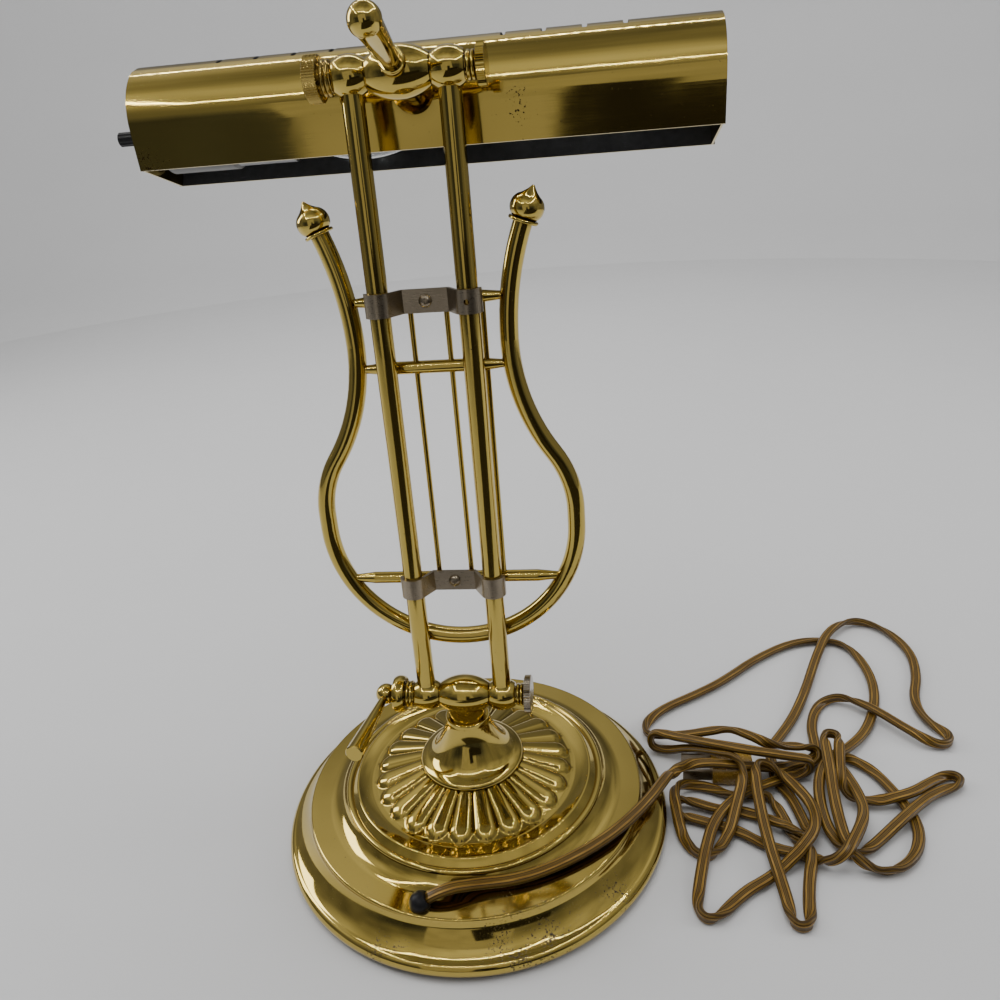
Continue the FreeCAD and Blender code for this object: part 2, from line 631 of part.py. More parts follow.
def lever_rod():
    splay, rise = math.radians(LEVER_SPLAY), math.radians(LEVER_RISE)
    along = V(math.sin(splay), math.cos(splay) * math.cos(rise), math.cos(splay) * math.sin(rise))
    ball_centre = V(nut_end + BALL_REACH, 0, 0)
    start = BALL_RADIUS - LEVER_BITE
    soft = LEVER_END_ROUND
    rod_z = turn_z((0, start), (LEVER_ROOT_RADIUS, start), (LEVER_END_RADIUS, LEVER_LENGTH - soft),
                   (LEVER_END_RADIUS - soft, LEVER_LENGTH), (0, LEVER_LENGTH))
    return aim(rod_z, ball_centre, along)


def make_clamp_lever():
    return placed(lever_rod(), 0, lower_pivot)


def make_thumb_nut():
    body = turn_x(*collar(NUT_COLLAR_RADIUS, NUT_GROOVE_RADIUS), (disc_start, 0))
    body = body.fuse(knurled(disc_start, nut_end, THUMB_RADIUS, KNURL_TEETH, KNURL_DEPTH))
    return on_arm(placed(body.cut(nut_bore()), 0, V(0, 0, ARM_LENGTH)))


# ================================================================ arms and lyre
def make_arm_tube(side):
    across = side * ARM_SPACING / 2
    return on_arm(tube(V(across, 0, ARM_SOCKET), V(across, 0, ARM_LENGTH - ARM_SOCKET),
                       ARM_RADIUS, ARM_RADIUS - ARM_WALL))


def lyre_turns():
    """One side of the lyre as (centre, radius, first angle, last angle), from the bow upwards."""
    bow = ((0, LYRE_BOW_RISE + LYRE_BOW_RADIUS), LYRE_BOW_RADIUS, -90, 0)
    shoulder_centre = (LYRE_BOW_RADIUS - LYRE_SHOULDER_RADIUS, bow[0][1] + LYRE_SIDE_RISE)
    shoulder = (shoulder_centre, LYRE_SHOULDER_RADIUS, 0, LYRE_SHOULDER_TURN)
    waist_centre = polar(shoulder_centre, LYRE_SHOULDER_RADIUS + LYRE_WAIST_RADIUS, LYRE_SHOULDER_TURN)
    waist = (waist_centre, LYRE_WAIST_RADIUS, 180 + LYRE_SHOULDER_TURN, 180)
    horn_centre = (waist_centre[0] - LYRE_WAIST_RADIUS + LYRE_HORN_RADIUS, waist_centre[1])
    horn = (horn_centre, LYRE_HORN_RADIUS, 180, 180 - LYRE_HORN_TURN)
    return [bow, shoulder, waist, horn]


def lyre_half_width(rise):
    """Middle of the frame to the middle of its tube at a height."""
    bow, shoulder, waist, horn = lyre_turns()
    if rise < bow[0][1]:
        return math.sqrt(bow[1] ** 2 - (rise - bow[0][1]) ** 2)
    side = waist if rise < waist[0][1] else horn
    return side[0][0] - math.sqrt(side[1] ** 2 - (rise - side[0][1]) ** 2)


def lyre_tube_half():
    edges = []
    here = None
    for centre, radius, first, last in lyre_turns():
        start, middle, end = [polar(centre, radius, turn) for turn in (first, (first + last) / 2, last)]
        start, middle, end = [V(spot[0], lyre_plane, spot[1]) for spot in (start, middle, end)]
        if here and here.distanceToPoint(start) > 1e-6:
            edges.append(Part.LineSegment(here, start).toShape())
        edges.append(Part.Arc(start, middle, end).toShape())
        here = end
    circle = Part.Wire(Part.Circle(V(0, lyre_plane, LYRE_BOW_RISE), X_AXIS, LYRE_TUBE_RADIUS).toShape())
    return Part.Wire(edges).makePipeShell([circle], True, False)


def crossbar(rise):
    half = lyre_half_width(rise) - LYRE_TUBE_RADIUS + CROSSBAR_BITE
    shoulder = half - CROSSBAR_BITE - CROSSBAR_TAPER
    bar = turn_x((-half, 0), (-half, CROSSBAR_END_RADIUS), (CROSSBAR_BITE - half, CROSSBAR_END_RADIUS),
                 (-shoulder, CROSSBAR_RADIUS), (shoulder, CROSSBAR_RADIUS),
                 (half - CROSSBAR_BITE, CROSSBAR_END_RADIUS), (half, CROSSBAR_END_RADIUS), (half, 0))
    bar.translate(V(0, lyre_plane, rise))
    return bar


def lyre_string(number):
    across = STRING_SPACING * (number - (STRING_COUNT - 1) / 2)
    return rod(V(across, lyre_plane, low_bar), V(across, lyre_plane, top_bar), STRING_RADIUS)


def screw_shank(rise):
    return rod(V(0, lyre_plane, rise), V(0, strap_face, rise), SCREW_SHANK_RADIUS)


def screw(rise):
    """Strap screw along Y, its pan head on the strap and its shank in the crossbar."""
    edge = (SCREW_HEAD_RADIUS, SCREW_HEAD_EDGE)
    head = turn_z((0, 0), (SCREW_HEAD_RADIUS, 0), edge, bowed(edge, (0, SCREW_HEAD_HEIGHT), SCREW_HEAD_BOW))
    head = aim(head, V(0, strap_face, rise), Y_AXIS)
    top = V(0, strap_face + SCREW_HEAD_HEIGHT, rise)
    slots = [box(SCREW_SLOT, SCREW_HEAD_HEIGHT, SCREW_HEAD_RADIUS, top),
             box(SCREW_HEAD_RADIUS, SCREW_HEAD_HEIGHT, SCREW_SLOT, top)]
    return head.cut(slots).fuse(screw_shank(rise))


def strap_side(radius, face):
    """Half of one side of the strap's section in (across, forward): round the tube, then to the plate."""
    centre = (ARM_SPACING / 2, 0)
    leave = polar(centre, radius, STRAP_WRAP)
    turn = math.radians(STRAP_WRAP)
    run = (face - leave[1]) / math.cos(turn)
    return [polar(centre, radius, 0), polar(centre, radius, STRAP_WRAP / 2), leave,
            (leave[0] - run * math.sin(turn), face)]


def strap(rise):
    """Clamp strap: hooks over both arm tubes and a flat middle against the crossbar."""
    outer = strap_side(ARM_RADIUS + STRAP_THICKNESS, strap_face)
    inner = strap_side(ARM_RADIUS, strap_face - STRAP_THICKNESS)
    outer_left, inner_left = [[(-across, forward) for across, forward in side] for side in (outer, inner)]
    section = outline(outer[0], (outer[1], outer[2]), outer[3],
                      outer_left[3], outer_left[2], (outer_left[1], outer_left[0]),
                      inner_left[0], (inner_left[1], inner_left[2]), inner_left[3],
                      inner[3], inner[2], (inner[1], inner[0]))
    body = section.extrude(V(0, -STRAP_HEIGHT, 0))
    body.rotate(ORIGIN, X_AXIS, -90)
    body.translate(V(0, 0, rise - STRAP_HEIGHT / 2))
    return body.cut(screw_shank(rise))


def strap_hole(rise):
    across = -ARM_SPACING / 2
    return rod(V(across, 0, rise), V(across, ARM_RADIUS + 2 * STRAP_THICKNESS, rise), STRAP_HOLE_RADIUS)


def finial():
    """Ring and onion bulb with a broad pointed tip, standing on z = 0."""
    ring, rise = FINIAL_RING_RADIUS, FINIAL_RING_HEIGHT
    foot, belly = (FINIAL_FOOT_RADIUS, rise), (FINIAL_RADIUS, rise + FINIAL_BELLY_RISE)
    shoulder = (FINIAL_SHOULDER_RADIUS, rise + FINIAL_SHOULDER_RISE)
    tip = (FINIAL_TIP_RADIUS, rise + FINIAL_HEIGHT)
    return turn_z((0, 0), (ring - rise / 4, 0), ((ring, rise / 2), (ring - rise / 4, rise)), foot,
                  bowed(foot, belly, FINIAL_UNDER_BOW), bowed(belly, shoulder, FINIAL_OVER_BOW),
                  bowed(shoulder, tip, -FINIAL_HOLLOW), (0, tip[1]))


def make_finial(side):
    centre, radius, first, last = lyre_turns()[-1]
    across, up = polar(centre, radius, last)
    lean = math.radians(LYRE_HORN_TURN)
    outwards = V(side * math.sin(lean), 0, math.cos(lean))
    return on_arm(aim(finial(), V(side * across, lyre_plane, up), outwards))


# ================================================================ head
def handle_direction():
    return V(0, math.cos(math.radians(HANDLE_TILT)), math.sin(math.radians(HANDLE_TILT)))


def make_handle():
    seat, ring = HANDLE_SEAT_REACH, HANDLE_RING_RADIUS
    ring_end = seat + HANDLE_RING_LENGTH
    ring_edge = ring - HANDLE_RING_SWELL
    groove = HANDLE_GROOVE
    shaft_end = HANDLE_END_RADIUS - HANDLE_STEP
    lip = HANDLE_LENGTH - groove
    body = turn_z((0, seat - HANDLE_GRIP), (HANDLE_STUD_RADIUS, seat - HANDLE_GRIP),
                  (HANDLE_STUD_RADIUS, seat), (ring_edge, seat),
                  ((ring, seat + HANDLE_RING_LENGTH / 2), (ring_edge, ring_end)),
                  (HANDLE_ROOT_RADIUS, ring_end), (shaft_end, lip - groove), (shaft_end, lip),
                  (HANDLE_END_RADIUS - groove / 2, lip), (HANDLE_END_RADIUS, HANDLE_LENGTH),
                  (polar((0, HANDLE_LENGTH), HANDLE_END_RADIUS, 45), (0, HANDLE_LENGTH + HANDLE_END_RADIUS)))
    return on_head(aim(body, ORIGIN, handle_direction()))


def shade_points(inset):
    """Right half of the shade's section, set in from the outside: lip, then tangent point."""
    radius = SHADE_RADIUS - inset
    tangent = polar((0, 0), radius, -SHADE_FLARE)
    fall = SHADE_DROP + tangent[1]
    return (tangent[0] - fall * math.tan(math.radians(SHADE_FLARE)), -SHADE_DROP), tangent, radius


def shade_section(inset):
    lip, tangent, radius = shade_points(inset)
    return outline(lip, tangent, ((0, radius), (-tangent[0], tangent[1])), (-lip[0], lip[1]))


def along_shade(face, start, end):
    """A section in (front, up) about the centre of the round, run along the shade."""
    body = face.copy()
    body.translate(V(0, start, 0))
    body = body.extrude(V(0, end - start, 0))
    body.rotate(ORIGIN, Z_AXIS, -90)
    body.translate(V(0, -SHADE_REACH, SHADE_LIFT))
    return body


def vent_slot(across):
    """Round-ended slot through the top of the shade."""
    half = (VENT_REACH - VENT_WIDTH) / 2
    floor = V(across, -SHADE_REACH, SHADE_LIFT + SHADE_RADIUS / 2)
    slot = Part.makeBox(VENT_WIDTH, 2 * half, SHADE_RADIUS, floor - V(VENT_WIDTH / 2, half, 0))
    for end in (-half, half):
        slot = slot.fuse(Part.makeCylinder(VENT_WIDTH / 2, SHADE_RADIUS, floor + V(0, end, 0)))
    return slot


def make_shade():
    half = SHADE_LENGTH / 2
    outer = along_shade(shade_section(0), -half, half)
    shell = outer.cut(along_shade(shade_section(SHADE_WALL), -half, half))
    edge = VENT_STRIP_ANGLE / 2
    low, high = SHADE_RADIUS - VENT_STRIP_DEPTH, SHADE_RADIUS + 1
    strip = outline(polar((0, 0), low, 90 - edge), ((0, low), polar((0, 0), low, 90 + edge)),
                    polar((0, 0), high, 90 + edge), ((0, high), polar((0, 0), high, 90 - edge)))
    shell = shell.cut(along_shade(strip, -half, half))
    slots = []
    for n in range(VENTS_PER_SIDE):
        for side in (-1, 1):
            slots.append(vent_slot(side * (VENT_FIRST + n * VENT_SPACING)))
    stem_hole = rod(V(0, -STEM_SEAT_REACH, 0), V(0, -SHADE_REACH, 0), STEM_RADIUS)
    return on_head(shell.cut(slots).cut(stem_hole))


def make_shade_cap(side):
    ends = sorted((side * cap_face, side * (cap_face - CAP_THICKNESS)))
    plate = along_shade(shade_section(SHADE_WALL + CAP_FIT), ends[0], ends[1])
    if side > 0:
        hole = rod(V(ends[0] - 1, 0, 0) + holder_axis, V(ends[1] + 1, 0, 0) + holder_axis,
                   BUSHING_RADIUS + DROP_IN)
        plate = plate.cut(hole)
    return on_head(plate)


def shade_form(inset):
    """The shade's whole section, set in from its outside, along the stretch that the stem's parts meet."""
    half = STEM_FLANGE_RADIUS + 1
    return along_shade(shade_section(inset), -half, half)


def make_stem():
    return on_head(tube(V(0, STEM_GRIP - STEM_SEAT_REACH, 0), V(0, stem_end, 0), STEM_RADIUS, STEM_BORE))


def make_stem_flange():
    disc = rod(V(0, stem_outside + STEM_FLANGE_THICKNESS, 0), V(0, stem_outside - STEM_FLANGE_THICKNESS, 0),
               STEM_FLANGE_RADIUS)
    return on_head(disc.cut(shade_form(0)).cut(stem_clearance()))


def make_stem_washer():
    disc = rod(V(0, stem_outside, 0), V(0, stem_nut_face, 0), STEM_WASHER_RADIUS)
    return on_head(disc.common(shade_form(SHADE_WALL)).cut(stem_clearance()))


def stem_clearance():
    return rod(V(0, 0, 0), V(0, -SHADE_REACH, 0), STEM_RADIUS + DROP_IN)


def make_stem_nut():
    nut = hex_nut(STEM_NUT_FLATS, STEM_NUT_THICKNESS, STEM_RADIUS)
    return on_head(aim(nut, V(0, stem_nut_face, 0), -Y_AXIS))


# ================================================================ lamp holder
def on_holder(shape):
    """From the holder's own frame: X along its axis."""
    moved = shape.copy()
    moved.translate(holder_axis)
    return on_head(moved)


def make_switch_body():
    soft = SWITCH_ROUND
    neck_end = cap_face - CAP_THICKNESS
    body = turn_x((switch_front, 0), (switch_front, SWITCH_RADIUS - soft),
                  (switch_front + soft, SWITCH_RADIUS), (switch_back - soft, SWITCH_RADIUS),
                  (switch_back, SWITCH_RADIUS - soft),
                  (switch_back, SWITCH_NECK_RADIUS), (neck_end, SWITCH_NECK_RADIUS),
                  (neck_end, BUSHING_RADIUS), (ring_nut_end, BUSHING_RADIUS), (ring_nut_end, 0))
    bore = rod(V(switch_back - SHAFT_GRIP - SIDE_GAP, 0, 0), V(ring_nut_end, 0, 0), SHAFT_RADIUS + RUN_FIT)
    return on_holder(body.cut(bore))


def make_ring_nut():
    body = knurled(cap_face, ring_nut_end, RING_NUT_RADIUS, KNURL_TEETH, KNURL_DEPTH / 2)
    return on_holder(body.cut(rod(V(cap_face, 0, 0), V(ring_nut_end, 0, 0), BUSHING_RADIUS)))


def make_switch_knob():
    """Ribbed knob and its shaft."""
    start = ring_nut_end + KNOB_GAP
    end = start + KNOB_LENGTH
    grip = knurled(start, end, KNOB_RADIUS, KNOB_RIBS, KNOB_RIB_DEPTH)
    shaft = rod(V(switch_back - SHAFT_GRIP, 0, 0), V(ring_nut_end + SHAFT_PROUD, 0, 0), SHAFT_RADIUS)
    return on_holder(grip.fuse(shaft))


def make_socket_skirt():
    return on_holder(tube(V(switch_front - SKIRT_LENGTH, 0, 0), V(switch_front, 0, 0), SKIRT_RADIUS,
                          SKIRT_RADIUS - SKIRT_WALL))


def make_screw_shell():
    inner = BULB_BASE_RADIUS + DROP_IN
    return on_holder(tube(V(switch_front - SCREW_SHELL_LENGTH, 0, 0), V(switch_front, 0, 0),
                          inner + SCREW_SHELL_WALL, inner))


def make_centre_contact():
    return on_holder(rod(V(contact_face, 0, 0), V(switch_front, 0, 0), CONTACT_RADIUS))


def make_bulb_base():
    tip = contact_face
    cone = tip - BULB_BASE_CONE
    rim = tip - BULB_BASE_LENGTH
    return on_holder(turn_x((rim, 0), (rim, BULB_BASE_RADIUS), (cone, BULB_BASE_RADIUS),
                            (tip - 1, CONTACT_RADIUS), (tip, CONTACT_RADIUS - 1), (tip, 0)))


def bulb_form(inset):
    """Torpedo glass from its neck to its nose, turned about X and set in by an inset."""
    rim = contact_face - BULB_BASE_LENGTH
    swell, hollow = BULB_SWELL_RADIUS - inset, BULB_NECK_CURVE + inset
    belly = (rim - BULB_BELLY_REACH, BULB_RADIUS - BULB_SWELL_RADIUS)
    neck_up = BULB_NECK_RADIUS + BULB_NECK_CURVE
    between = math.degrees(math.asin((neck_up - belly[1]) / (swell + hollow)))
    neck = (belly[0] + (swell + hollow) * math.cos(math.radians(between)), neck_up)
    meet = polar(belly, swell, between)
    end = polar(belly, swell, 90 + BULB_TIP_TURN)
    nose = end[1] / math.cos(math.radians(BULB_TIP_TURN))
    nose_centre = (end[0] + nose * math.sin(math.radians(BULB_TIP_TURN)), 0)
    return turn_x((rim, 0), (rim, neck_up - hollow), polar(neck, hollow, 270),
                  (polar(neck, hollow, 225 + between / 2), meet),
                  (polar(belly, swell, 90), end),
                  (polar(nose_centre, nose, 135 + BULB_TIP_TURN / 2), (nose_centre[0] - nose, 0)))


def make_bulb_glass():
    return on_holder(bulb_form(0).cut(bulb_form(BULB_WALL)))


def make_bulb_mount():
    """Glass stem, two supports and the filament."""
    rim = contact_face - BULB_BASE_LENGTH
    stem_end = rim - MOUNT_LENGTH
    filament = stem_end - FILAMENT_RISE
    stem = turn_x((rim, 0), (rim, MOUNT_RADIUS), (stem_end, MOUNT_RADIUS / 2), (stem_end, 0))
    wires = [rod(V(stem_end + MOUNT_RADIUS, 0, 0), V(filament, side * FILAMENT_SPAN / 2, 0), WIRE_RADIUS)
             for side in (-1, 1)]
    wires.append(rod(V(filament, -FILAMENT_SPAN / 2, 0), V(filament, FILAMENT_SPAN / 2, 0), 2 * WIRE_RADIUS))
    return on_holder(stem.multiFuse(wires))


def make_shade_lead():
    """Pair of wires from the stem, under the shade's roof, to the back of the switch."""
    roof = SHADE_LIFT + SHADE_RADIUS - SHADE_WALL - 3 * LEAD_RADIUS
    front = -SHADE_REACH
    entry = V((switch_front + switch_back) / 2, front, holder_axis.z + SWITCH_RADIUS)
    route = [V(0, stem_end, 0), V(-2, stem_end - 9, 1), V(-9, front + 3, 7), V(-8, front - 1, 16),
             V(4, front - 1.5, roof), V(24, front, roof - 0.5), V(50, front - 1, roof),
             V(entry.x - 26, front, roof - 0.3), V(entry.x - 13, front, roof),
             V(entry.x - 5, front, roof - 2), entry - Z_AXIS * LEAD_RADIUS]
    case = rod(V(switch_front, 0, 0), V(switch_back, 0, 0), SWITCH_RADIUS)
    case.translate(holder_axis)
    return on_head(soft_tube("shade_lead", route, LEAD_RADIUS).cut(case))


# ================================================================ cord
exit_spot = V(*polar((0, 0), EXIT_RADIUS, EXIT_ANGLE), SHOULDER_HEIGHT)
dome_centre = exit_spot + Z_AXIS * DOME_RISE
cord_out = V(EXIT_DIRECTION).normalize()
cord_start = dome_centre + cord_out * DOME_FACE

# Cord routes, point by point, in the order that it runs.
LEAD_ROUTE = [cord_start, cord_start + cord_out * EXIT_RUN, V(-10, 71.5, 26.4), V(-30, 67.5, 25.8),
              V(-50, 57.5, 26), V(-68, 44.5, 26.4), V(-83, 29, 26.6), V(-94.5, 11, 23.5),
              V(-101.5, -8, 17.2), V(-107, -24, 14), V(-113, -35, 12.4), V(-121, -43, 10)]
NEAR_LOOP_ROUTE = [V(-104, -48, 2.5), V(-93.5, -60, 2.5), V(-98, -78, 2.5), V(-118, -91, 2.5),
                   V(-143, -107, 2.5), V(-170, -133, 2.5), V(-200, -152, 2.5), V(-226, -150, 2.5),
                   V(-236, -125, 2.5), V(-234, -96, 2.5), V(-222, -68, 2.5), V(-203, -46, 2.5)]
FAR_LOOP_ROUTE = [V(-168, -44, 2.5), V(-180, -68, 2.5), V(-193, -98, 4), V(-206, -130, 7.8),
                  V(-221, -159, 7.8), V(-240, -175, 4.4), V(-258, -167, 2.5), V(-267, -143, 2.5),
                  V(-263, -116, 2.5), V(-254, -92, 2.5), V(-255, -71, 2.5), V(-265, -58, 3),
                  V(-256, -50, 4), V(-243, -64, 7.8), V(-229, -82, 7.8), V(-213, -93, 4.4),
                  V(-199, -86, 2.5), V(-191, -68, 2.5), V(-187, -46, 2.5)]
# The tied hank: each fold as (start, end, width) on the table.
HANK_FOLDS = [(V(-108, -46, 0), V(-178, -41, 0), 26), (V(-196, -42, 0), V(-190, 14, 0), 24),
              (V(-146, -32, 0), V(-118, 54, 0), 21), (V(-152, -30, 0), V(-161, 56, 0), 21),
              (V(-194, 20, 0), V(-243, -15, 0), 25), (V(-118, 13, 0), V(-158, 12, 0), 35),
              (V(-160, -8, 0), V(-166, 12, 0), 30)]


def soft_tube(name, route, tube_radius):
    """Round tube of straight runs joined by tangent arcs along a route of points."""
    edges = []
    here = route[0]
    radii = []
    for before, corner, after in zip(route, route[1:], route[2:]):
        back, ahead = before - corner, after - corner
        trim = 0.45 * min(back.Length, ahead.Length)
        turn = math.pi - back.getAngle(ahead)
        radii.append(trim / math.tan(turn / 2))
        start = corner + V(back).normalize() * trim
        end = corner + V(ahead).normalize() * trim
        inward = (V(back).normalize() + V(ahead).normalize()).normalize()
        middle = corner + inward * radii[-1] * (1 / math.cos(turn / 2) - 1)
        edges.append(Part.LineSegment(here, start).toShape())
        edges.append(Part.Arc(start, middle, end).toShape())
        here = end
    edges.append(Part.LineSegment(here, route[-1]).toShape())
    path = Part.Wire(edges)
    circle = Part.Wire(Part.Circle(route[0], route[1] - route[0], tube_radius).toShape())
    solid = path.makePipeShell([circle], True, False)
    section = math.pi * tube_radius ** 2
    print(name, "radii", [round(radius, 1) for radius in radii],
          "volume over section times length", round(solid.Volume / (section * path.Length), 4))
    return solid


def stadium(start, end, width, height):
    along = (end - start).normalize()
    aside = V(-along.y, along.x, 0) * width / 2
    cap = along * width / 2
    edges = [Part.LineSegment(start + aside, end + aside).toShape(),
             Part.Arc(end + aside, end + cap, end - aside).toShape(),
             Part.LineSegment(end - aside, start - aside).toShape(),
             Part.Arc(start - aside, start - cap, start + aside).toShape()]
    return Part.Face(Part.Wire(edges)).extrude(Z_AXIS * height)


def make_cord_bushing():
    dome = Part.makeSphere(DOME_RADIUS, dome_centre).cut(shell_outside())
    stem = rod(exit_spot - Z_AXIS * (SHELL_WALL + BUSHING_STEM_LENGTH), exit_spot, BUSHING_STEM_RADIUS)
    beyond = rod(cord_start, cord_start + cord_out * DOME_RADIUS, 2 * DOME_RADIUS)
    return dome.fuse(stem).cut(beyond)


def plug_body():
    body = box(PLUG_LENGTH, PLUG_WIDTH, PLUG_HEIGHT, plug_centre)
    return body.makeFillet(PLUG_ROUND, [edge for edge in body.Edges if abs(edge.tangentAt(0).x) > 0.5])


def plug_blades():
    return [box(BLADE_LENGTH, BLADE_THICKNESS, BLADE_WIDTH, blade_centre + Y_AXIS * side * BLADE_SPACING / 2)
            for side in (-1, 1)]


def make_hank():
    folds = [stadium(start, end, width, HANK_HEIGHT) for start, end, width in HANK_FOLDS]
    body = folds[0].multiFuse(folds[1:]).removeSplitter()
    plug_room = box(PLUG_LENGTH, PLUG_WIDTH, PLUG_HEIGHT, plug_centre)
    blade_room = box(BLADE_LENGTH, BLADE_SPACING + BLADE_THICKNESS, PLUG_HEIGHT, blade_centre)
    rim = Part.makeCylinder(BASE_RADIUS + HANK_GAP, 2 * HANK_HEIGHT)
    return body.cut([plug_room.fuse(blade_room), rim])


# ================================================================ assembly
hank = make_hank()
bars = {"low": crossbar(low_bar), "middle": crossbar(middle_bar), "top": crossbar(top_bar)}
strings = [lyre_string(n) for n in range(STRING_COUNT)]
lyre_right = lyre_tube_half()
lyre_left = lyre_right.mirror(ORIGIN, X_AXIS)
lyre_frame = lyre_right.fuse(lyre_left).removeSplitter().cut(list(bars.values()))

parts = {
    "base_shell": make_base_shell(),
    "base_weight": make_base_weight(),
    "base_felt": make_base_felt(),
    "base_washer": make_base_washer(),
    "base_nut": make_base_nut(),
    "centre_nipple": make_nipple(),
    "neck": make_neck(),
    "lower_barrel": make_lower_barrel(),
    "lower_bolt": placed(bolt(DISC_RADIUS, DISC_LENGTH), 0, lower_pivot),
    "clamp_nut": make_clamp_nut(),
    "clamp_lever": make_clamp_lever(),
    "lyre_frame": on_arm(lyre_frame),
    "upper_bolt": on_arm(placed(bolt(UPPER_DISC_RADIUS, UPPER_DISC_LENGTH), 0, V(0, 0, ARM_LENGTH))),
    "thumb_nut": make_thumb_nut(),
    "upper_barrel": make_upper_barrel(),
    "handle": make_handle(),
    "stem": make_stem(),
    "stem_flange": make_stem_flange(),
    "stem_washer": make_stem_washer(),
    "stem_nut": make_stem_nut(),
    "shade": make_shade(),
    "switch_body": make_switch_body(),
    "switch_ring_nut": make_ring_nut(),
    "switch_knob": make_switch_knob(),
    "socket_skirt": make_socket_skirt(),
    "socket_screw_shell": make_screw_shell(),
    "socket_contact": make_centre_contact(),
    "bulb_base": make_bulb_base(),
    "bulb_glass": make_bulb_glass(),
    "bulb_mount": make_bulb_mount(),
    "shade_lead": make_shade_lead(),
    "cord_bushing": make_cord_bushing(),
    "cord_lead": soft_tube("cord_lead", LEAD_ROUTE, CORD_RADIUS).cut(hank),
    "cord_near_loop": soft_tube("cord_near_loop", NEAR_LOOP_ROUTE, CORD_RADIUS).cut(hank),
    "cord_far_loop": soft_tube("cord_far_loop", FAR_LOOP_ROUTE, CORD_RADIUS).cut(hank),
    "cord_hank": hank,
    "plug_body": plug_body(),
    "plug_blades": Part.makeCompound(plug_blades()),
    "strap_screws": on_arm(Part.makeCompound([screw(low_bar), screw(top_bar)])),
    "strap_lower": on_arm(strap(low_bar)),
    "strap_upper": on_arm(strap(top_bar).cut(strap_hole(top_bar))),
}
for side, word in ((-1, "left"), (1, "right")):
    parts["arm_tube_" + word] = make_arm_tube(side)
    parts["lower_knuckle_" + word] = knuckle(side, 0, 1)
    parts["upper_knuckle_" + word] = knuckle(side, ARM_LENGTH, -1)
    parts["finial_" + word] = make_finial(side)
    parts["shade_cap_" + word] = make_shade_cap(side)
for word, bar in bars.items():
    parts["crossbar_" + word] = on_arm(bar.cut(strings + [screw_shank(low_bar), screw_shank(top_bar)]))
for number, string in enumerate(strings, 1):
    parts["lyre_string_%d" % number] = on_arm(string)

os.makedirs("parts", exist_ok=True)
for name, shape in parts.items():
    shape.exportStep("parts/%s.step" % name)
    print(name, "solids", len(shape.Solids), "valid", shape.isValid(), "volume", round(shape.Volume))
print("lower pivot", lower_pivot, "upper pivot", upper_pivot)
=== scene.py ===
"""Brass lyre piano lamp: looks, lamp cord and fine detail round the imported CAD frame.

All lengths are metres in the row frame: +Z up, -Y to the lamp's front, the cord's pile at -X.
"""

import math

import bpy
from mathutils import Matrix, Vector


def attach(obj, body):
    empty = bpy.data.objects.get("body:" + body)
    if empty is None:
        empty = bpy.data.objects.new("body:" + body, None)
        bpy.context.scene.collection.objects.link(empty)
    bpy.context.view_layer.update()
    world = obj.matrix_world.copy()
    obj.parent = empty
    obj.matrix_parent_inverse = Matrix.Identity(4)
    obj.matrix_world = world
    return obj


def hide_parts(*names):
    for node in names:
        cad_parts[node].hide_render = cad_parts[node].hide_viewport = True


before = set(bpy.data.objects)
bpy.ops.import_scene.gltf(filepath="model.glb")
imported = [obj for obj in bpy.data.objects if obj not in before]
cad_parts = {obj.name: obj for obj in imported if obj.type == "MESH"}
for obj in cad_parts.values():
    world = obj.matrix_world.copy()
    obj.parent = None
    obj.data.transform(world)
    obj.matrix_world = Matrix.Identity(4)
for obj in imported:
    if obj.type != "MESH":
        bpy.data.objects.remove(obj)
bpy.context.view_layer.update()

UP = Vector((0, 0, 1))
MM = 0.001

# The camera stands behind the lamp, a little above the handle, and looks down at it.
CAMERA_PLACE = (-0.0772, 0.3454, 0.3528)
CAMERA_YAW = math.radians(-8.29)
CAMERA_PITCH = math.radians(25.23)
CAMERA_ROLL = math.radians(-5.09)
LENS_MM = 30.68
SENSOR_MM = 36.0
NEAREST_SEEN = 0.01
FARTHEST_SEEN = 60

# Meshes shade as sharp where faces meet at more than this.
SHARP_EDGE = math.radians(42)
TINY = 1e-6


# ---------------------------------------------------------------- camera, floor and light
def make_camera():
    """The camera that the photograph was solved for, turned by yaw, pitch and roll."""
    data = bpy.data.cameras.new("photo_camera")
    data.lens = LENS_MM
    data.sensor_width = SENSOR_MM
    data.clip_start = NEAREST_SEEN
    data.clip_end = FARTHEST_SEEN
    ahead = Vector((
        -math.sin(CAMERA_YAW) * math.cos(CAMERA_PITCH),
        -math.cos(CAMERA_YAW) * math.cos(CAMERA_PITCH),
        -math.sin(CAMERA_PITCH),
    ))
    level = Vector((-math.cos(CAMERA_YAW), math.sin(CAMERA_YAW), 0))
    upright = level.cross(ahead)
    right = math.cos(CAMERA_ROLL) * level + math.sin(CAMERA_ROLL) * upright
    above = math.cos(CAMERA_ROLL) * upright - math.sin(CAMERA_ROLL) * level
    turn = Matrix((right, above, -ahead)).transposed()
    camera = bpy.data.objects.new("photo_camera", data)
    camera.matrix_world = Matrix.Translation(CAMERA_PLACE) @ turn.to_4x4()
    bpy.context.scene.collection.objects.link(camera)
    bpy.context.scene.camera = camera


def new_object(name, mesh, material=None):
    made = bpy.data.objects.new(name, mesh)
    bpy.context.scene.collection.objects.link(made)
    if material:
        mesh.materials.append(material)
    return made


SQUARE = ((-1, -1), (1, -1), (1, 1), (-1, 1))


def flat_panel(name, centre, across, along, material):
    """A rectangle whose half sides are the vectors across and along."""
    centre, across, along = Vector(centre), Vector(across), Vector(along)
    corners = [centre + x * across + y * along for x, y in SQUARE]
    mesh = bpy.data.meshes.new(name)
    mesh.from_pydata([tuple(c) for c in corners], [], [(0, 1, 2, 3)])
    return new_object(name, mesh, material)


